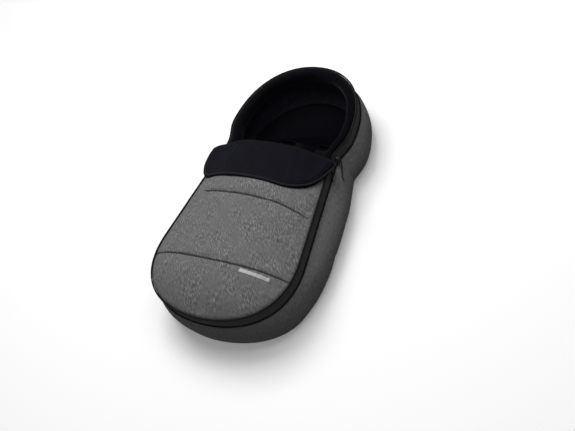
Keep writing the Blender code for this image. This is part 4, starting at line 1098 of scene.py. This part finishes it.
def flap_top(x, y):
    """The flap's face: its rest height and 7.5 mm of padding, rolled at the fold and the bound edge."""
    d = cuff_edge(x, y)
    roll = np.sqrt(np.clip(1 - (1 - np.clip(d / 0.008, 0, 1)) ** 2, 0, 1))
    sewn = 0.0012 * np.exp(-((d - 0.0065) / 0.0016) ** 2)
    soft = 0.0008 * rumple(x, y, 53, 0.085) * np.clip(d / 0.02, 0, 1)
    corner = 0.0045 * np.clip((np.abs(x + 0.01) - 0.12) / 0.05, 0, 1) * np.clip(d / 0.010, 0, 1)
    lowered = 0.0016 * (1 - np.clip((CUFF_TOP_Y - y) / 0.020, 0, 1)) ** 2
    lowered = lowered + 0.0030 * np.exp(-((x + 0.070) / 0.070) ** 2) * np.clip(d / 0.004, 0, 1)
    lifted = 0.0070 * np.clip((x - 0.060) / 0.065, 0, 1) * (1 - np.clip((CUFF_TOP_Y - y) / 0.060, 0, 1))
    low, high = cuff_span(y)
    swell = sampled(CUFF_PADDING, down_flap(y), (x - low) / (high - low)) * np.clip(d / 0.012, 0, 1)
    return cuff_rest(x, y) + 0.0026 + 0.0049 * roll - sewn + soft + corner - lowered + lifted + swell


def flap_under(x, y):
    """The flap's back, just above its lining."""
    return cuff_rest(x, y) + 0.0022


def backing_top(x, y):
    """The lining's hidden side, in the flap."""
    return cuff_rest(x, y) + 0.0019


def backing_under(x, y):
    """The lining's pile, on the cover."""
    return cuff_rest(x, y) + 0.0001


def turned_up(piece, nodes):
    """Bakes a piece of the cuff's placing into its mesh and hides the solids it stands for."""
    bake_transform(piece)
    stands_for(nodes)


rows = 0.5 - 0.5 * np.cos(math.pi * np.linspace(0.0, 1.0, 78))
flap = skin("cuff_face", cuff_rings(rows, flap_top, flap_under), navy)
# The fleece back is let out 6.2 mm past the flap's outline, beyond the bound edge, so its black pile shows
# there as a painted shadow line under the binding.
backing_rings = cuff_rings(rows[::2], backing_top, backing_under, 81, 41, 0.0062)
flap_back = skin("cuff_fleece_back", backing_rings, fleece)
plan_uv(flap)
plan_uv(flap_back)
turned_up(flap, ["cuff_flap"])
turned_up(flap_back, ["cuff_backing"])


def bound_edge():
    """The middle of the bound edge, from the fold's left end round the hem to its right end."""
    left, right = CUFF_SIDES
    _, x, y = evenly(np.vstack([left[12:], right[::-1][:-12]]), 320)
    y = sagged(x, y)
    dx, dy = np.gradient(x), np.gradient(y)
    size = np.hypot(dx, dy)
    return x, y, dy / size, -dx / size


def binding_rings():
    """Rings of the folded tape that wraps the cuff's edge."""
    x, y, nx, ny = bound_edge()
    angle = np.linspace(0, 2 * math.pi, 14, endpoint=False)
    share = np.linspace(0, 1, len(x))
    size = (0.25 + 0.75 * np.clip(np.minimum(share, 1 - share) / 0.035, 0, 1))[:, None]
    out = np.cos(angle)[None, :] * 0.0034 * size + 0.0010 * size
    up = np.sin(angle)[None, :] * 0.0028 * size + 0.0012 + 0.0026 * size
    return beside((x, y, nx, ny), out, cuff_rest(x, y)[:, None] + up)


# The binding is the same black woven tape as the piping, made about three times paler: a painted highlight
# along its rolled top.
painted_highlight_bound_cloth = woven_finish("black_binding_weave_painted_highlight", (0.0110, 0.0108, 0.0135))
binding = skin("cuff_bound_edge", binding_rings(), painted_highlight_bound_cloth)
turned_up(binding, ["cuff_binding"])

# Cord. A braided drawcord, 3.6 mm thick, is sewn in at the left, led round in the roll's channel and
# out of an eyelet at the right, through the cord lock to a moulded end.
CORD_THICK = 0.0036
CORD_EXIT_Y = 0.1297
CHANNEL_OFF, CHANNEL_Z = -0.0036, 0.133
ROUTE_STEPS = 4


def side_place(y, z, mirror=1.0):
    """Local axes on the band at a place along the bag: x outwards, y towards the toe, z up."""
    px, py, nx, ny = (float(v) for v in around(np.array(mirror * reach_at(y))))
    return Matrix(((nx, mirror * ny, 0, px), (ny, -mirror * nx, 0, py), (0, 0, 1, z), (0, 0, 0, 1)))


def smooth_route(route, steps):
    """Points on a Catmull-Rom curve through a route."""
    p = np.vstack([route[:1], route, route[-1:]])
    t = np.linspace(0, 1, steps, endpoint=False)[None, :, None]
    p0, p1, p2, p3 = (p[k:len(p) - 3 + k, None] for k in range(4))
    body = 0.5 * (2 * p1 + (p2 - p0) * t + (2 * p0 - 5 * p1 + 4 * p2 - p3) * t * t
                  + (3 * p1 - p0 - 3 * p2 + p3) * t ** 3)
    return np.vstack([body.reshape(-1, 3), route[-1:]])


def braid_finish():
    """Braided cord: two sets of strands crossing at a slant."""
    material, tree, shader = finish_of("black_braid", (0.005, 0.005, 0.0055), 0.85, gloss=0.1)
    strands = [waves(tree, placed_coordinates(tree, "UV", turn=turn), 75.0) for turn in (38.0, -38.0)]
    crossed = combined(tree, "MAXIMUM", *strands)
    coloured(tree, shader, crossed, [(0.3, (0.003, 0.003, 0.0033)), (0.9, (0.008, 0.008, 0.0084))])
    bumped(tree, shader, crossed, 0.00025, 0.8)
    return material


def cord_piece(name, path):
    """A length of the round cord."""
    piece = skin(name, tube_rings(path, CORD_THICK / 2, (0.0, 0.12, 1.0), 10), braid)
    on_wall(piece, ["hood_drawcord"])
    return piece


braid = braid_finish()
exit_place = np.array(side_place(CORD_EXIT_Y, CHANNEL_Z))
channel_s = hood_places(0.006)[::-1]
channel_s = channel_s[(channel_s < 0) | (channel_s > reach_at(CORD_EXIT_Y + 0.0113))]
channel = beside(around(channel_s), CHANNEL_OFF, CHANNEL_Z)[:, 0]
exit_route = np.array([(-0.0036, -0.0075, 0.0), (-0.0034, -0.0040, 0.0), (-0.0022, -0.0013, 0.0),
                       (0.0, -0.0001, 0.0), (0.0035, 0.0, 0.0), (0.0110, 0.0, 0.0), (0.0175, 0.0, 0.0),
                       (0.0213, 0.0012, -0.0012), (0.0240, 0.0052, -0.0058), (0.0258, 0.0120, -0.0130),
                       (0.0276, 0.0200, -0.0205), (0.0298, 0.0280, -0.0275), (0.0314, 0.0332, -0.0322)])
exit_points = exit_route @ exit_place[:3, :3].T + exit_place[:3, 3]
cord_path = smooth_route(np.vstack([channel, exit_points]), ROUTE_STEPS)
eyelet = ROUTE_STEPS * (len(channel) + 3)
tail_path = cord_path[eyelet:]
cord_piece("drawcord_braid", cord_path[:eyelet + 1])
drawcord_tail = cord_piece("drawcord_tail", tail_path)

# Pull tabs. A 5 mm strand of woven tape is folded over each pull's link, its two legs sewn together,
# and curls outwards as it hangs down the band.
BAR_N = 0.0059
STRAND_START, STRAND_END = 0.0111, 0.0375


def strand_rings(place, curl, twist):
    """Rings of the folded strand: two legs run on together from the link's bar and curl outwards."""
    t = np.linspace(0, 1, 40)[:, None]
    half, thick = 0.0025, 0.00125 - 0.0002 * t
    across_strand = np.array([-1, -0.5, 0, 0.5, 1, 1, 0.5, 0, -0.5, -1])
    through = np.array([-1, -1, -1, -1, -1, 1, 1, 1, 1, 1])
    w, h = across_strand * half, through * thick
    c, s = np.cos(twist * t * t), np.sin(twist * t * t)
    y = STRAND_START + (STRAND_END - STRAND_START) * t + 0 * w
    local = np.stack([BAR_N + curl * t * t + h * c + w * s, y, w * c - h * s], -1)
    return local @ place[:3, :3].T + place[:3, 3]


for side, mirror in (("right", 1.0), ("left", -1.0)):
    tilted = side_place(0.100, COIL_Z, mirror) @ Matrix.Rotation(math.radians(-20.0), 4, "X")
    strand = skin(f"pull_strand_{side}", strand_rings(np.array(tilted), 0.004, 0.9), edge_cloth)
    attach(strand, f"pull_{side}")
    stands_for([f"pull_tab_{side}"])

# Tab. A blank tab of silver satin weave is folded under at its ends and sewn on flat, just below
# the lower seam and to the right.
TAB_CENTRE = (0.133, -0.2780)
TAB_SIZE = (0.083, 0.0118)


def silver_finish():
    """Satin-woven silver yarn with fine cross ribs."""
    material, tree, shader = finish_of("silver_satin_weave", (0.40, 0.40, 0.41), 0.45, 0.2, 0.3, 0.25)
    place = placed_coordinates(tree, "UV")
    rib = waves(tree, place, 90.0, distortion=1.2)
    shade = weighted(tree, rib, 0.55, noise(tree, place, 700.0, 2.0), 0.45)
    coloured(tree, shader, shade, [(0.2, (0.156, 0.156, 0.160)), (0.75, (0.290, 0.290, 0.294))])
    bumped(tree, shader, shade, 0.0001, 0.6)
    return material


def tab_surface_rings():
    """Rings across the tab: it follows the cover's face, its edges turned down and sewn flat."""
    share = np.linspace(-1, 1, 73)
    ring = np.concatenate([np.linspace(-1, 1, 15), np.linspace(1, -1, 9)])
    top = np.arange(24) < 15
    x = TAB_CENTRE[0] + TAB_SIZE[0] / 2 * share[:, None] + 0 * ring
    y = TAB_CENTRE[1] + TAB_SIZE[1] / 2 * ring + 0 * x
    face = cover_top_height(x, y)
    ends = np.clip((1 - np.abs(share[:, None])) * TAB_SIZE[0] / 2 / 0.0015, 0, 1)
    sides = np.clip((1 - np.abs(ring)) * TAB_SIZE[1] / 2 / 0.0010, 0, 1)
    lift = np.where(top, 0.0004 + 0.0010 * np.minimum(ends, sides) ** 0.5, -0.0002)
    return np.stack([x, y, face + lift], -1)


tab = skin("silver_tab", tab_surface_rings(), silver_finish())
plan_uv(tab)
on_wall(tab, ["label_tab"])

# Hard parts and hidden layers keep their solids. The sliders, links and stops are lacquered zinc,
# the cord lock is moulded nylon round a steel spring, and the slots' sleeves are fleece.
def lacquer_finish():
    """Black lacquer on die-cast zinc: satin, faintly uneven, rubbed paler along its high edges."""
    material, tree, shader = finish_of("black_lacquer", (0.014, 0.014, 0.015), 0.32, metallic=0.3)
    ripple = noise(tree, placed_coordinates(tree, "Object"), 900.0, 2.0)
    geometry = tree.nodes.new("ShaderNodeNewGeometry")
    rubbed = combined(tree, "ADD", geometry.outputs["Pointiness"], combined(tree, "MULTIPLY", ripple, 0.08))
    coloured(tree, shader, rubbed, [(0.52, (0.012, 0.012, 0.013)), (0.66, (0.055, 0.055, 0.058))])
    bumped(tree, shader, ripple, 0.00004, 0.5)
    return material


def steel_finish():
    """Drawn spring steel."""
    material, tree, shader = finish_of("spring_wire", (0.55, 0.55, 0.56), 0.28, metallic=1.0)
    drawn = noise(tree, placed_coordinates(tree, "Object", (900.0, 900.0, 120.0)), 1.0, 2.0)
    coloured(tree, shader, drawn, [(0.3, (0.45, 0.45, 0.46)), (0.7, (0.62, 0.62, 0.63))])
    return material


def wadding_finish():
    """White polyester wadding: loose crimped fibre."""
    material, tree, shader = finish_of("white_polyester_wadding", (0.70, 0.70, 0.68), 1.0, 0.2)
    fibre = noise(tree, placed_coordinates(tree, "Object", (1.0, 1.0, 3.0)), 420.0, 4.0, 0.7)
    coloured(tree, shader, fibre, [(0.3, (0.55, 0.55, 0.53)), (0.7, (0.78, 0.78, 0.76))])
    bumped(tree, shader, fibre, 0.001, 0.8)
    return material


def rubber_finish():
    """Anti-slip print: raised dots on a coated cloth."""
    material, tree, shader = finish_of("anti_slip_dots", (0.020, 0.020, 0.022), 0.7)
    dots = tree.nodes.new("ShaderNodeTexVoronoi")
    dots.inputs["Scale"].default_value = 240.0
    dots.inputs["Randomness"].default_value = 0.0
    tree.links.new(placed_coordinates(tree, "Object", (1.0, 1.0, 0.0)), dots.inputs["Vector"])
    raised = ramp(tree, dots.outputs["Distance"], [(0.28, (1, 1, 1)), (0.36, (0, 0, 0))])
    coloured(tree, shader, dots.outputs["Distance"],
             [(0.28, (0.028, 0.028, 0.030)), (0.36, (0.013, 0.013, 0.014))])
    bumped(tree, shader, raised, 0.0006, 0.8)
    return material


slot_fleece = fleece_finish("black_slot_fleece", (0.0015, 0.0014, 0.0024))
plastic = moulded_finish("black_moulded_nylon", (0.004, 0.004, 0.0043), 0.75)
lacquer = lacquer_finish()
KEPT = {
    lacquer: ("zip_slider_right", "zip_slider_left", "pull_link_right", "pull_link_left", "zip_stop_right",
              "zip_stop_left", "cord_eyelet"),
    plastic: ("cord_lock_barrel", "cord_lock_plunger", "drawcord_end"),
    steel_finish(): ("cord_lock_spring",),
    wadding_finish(): ("back_wadding",),
    rubber_finish(): ("anti_slip_patch",),
    slot_fleece: ("shoulder_slot_right_binding", "shoulder_slot_left_binding", "waist_slot_right_binding",
                  "waist_slot_left_binding", "crotch_slot_binding"),
}
for material, names in KEPT.items():
    for name in names:
        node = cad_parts[name]
        node.data.materials.clear()
        node.data.materials.append(material)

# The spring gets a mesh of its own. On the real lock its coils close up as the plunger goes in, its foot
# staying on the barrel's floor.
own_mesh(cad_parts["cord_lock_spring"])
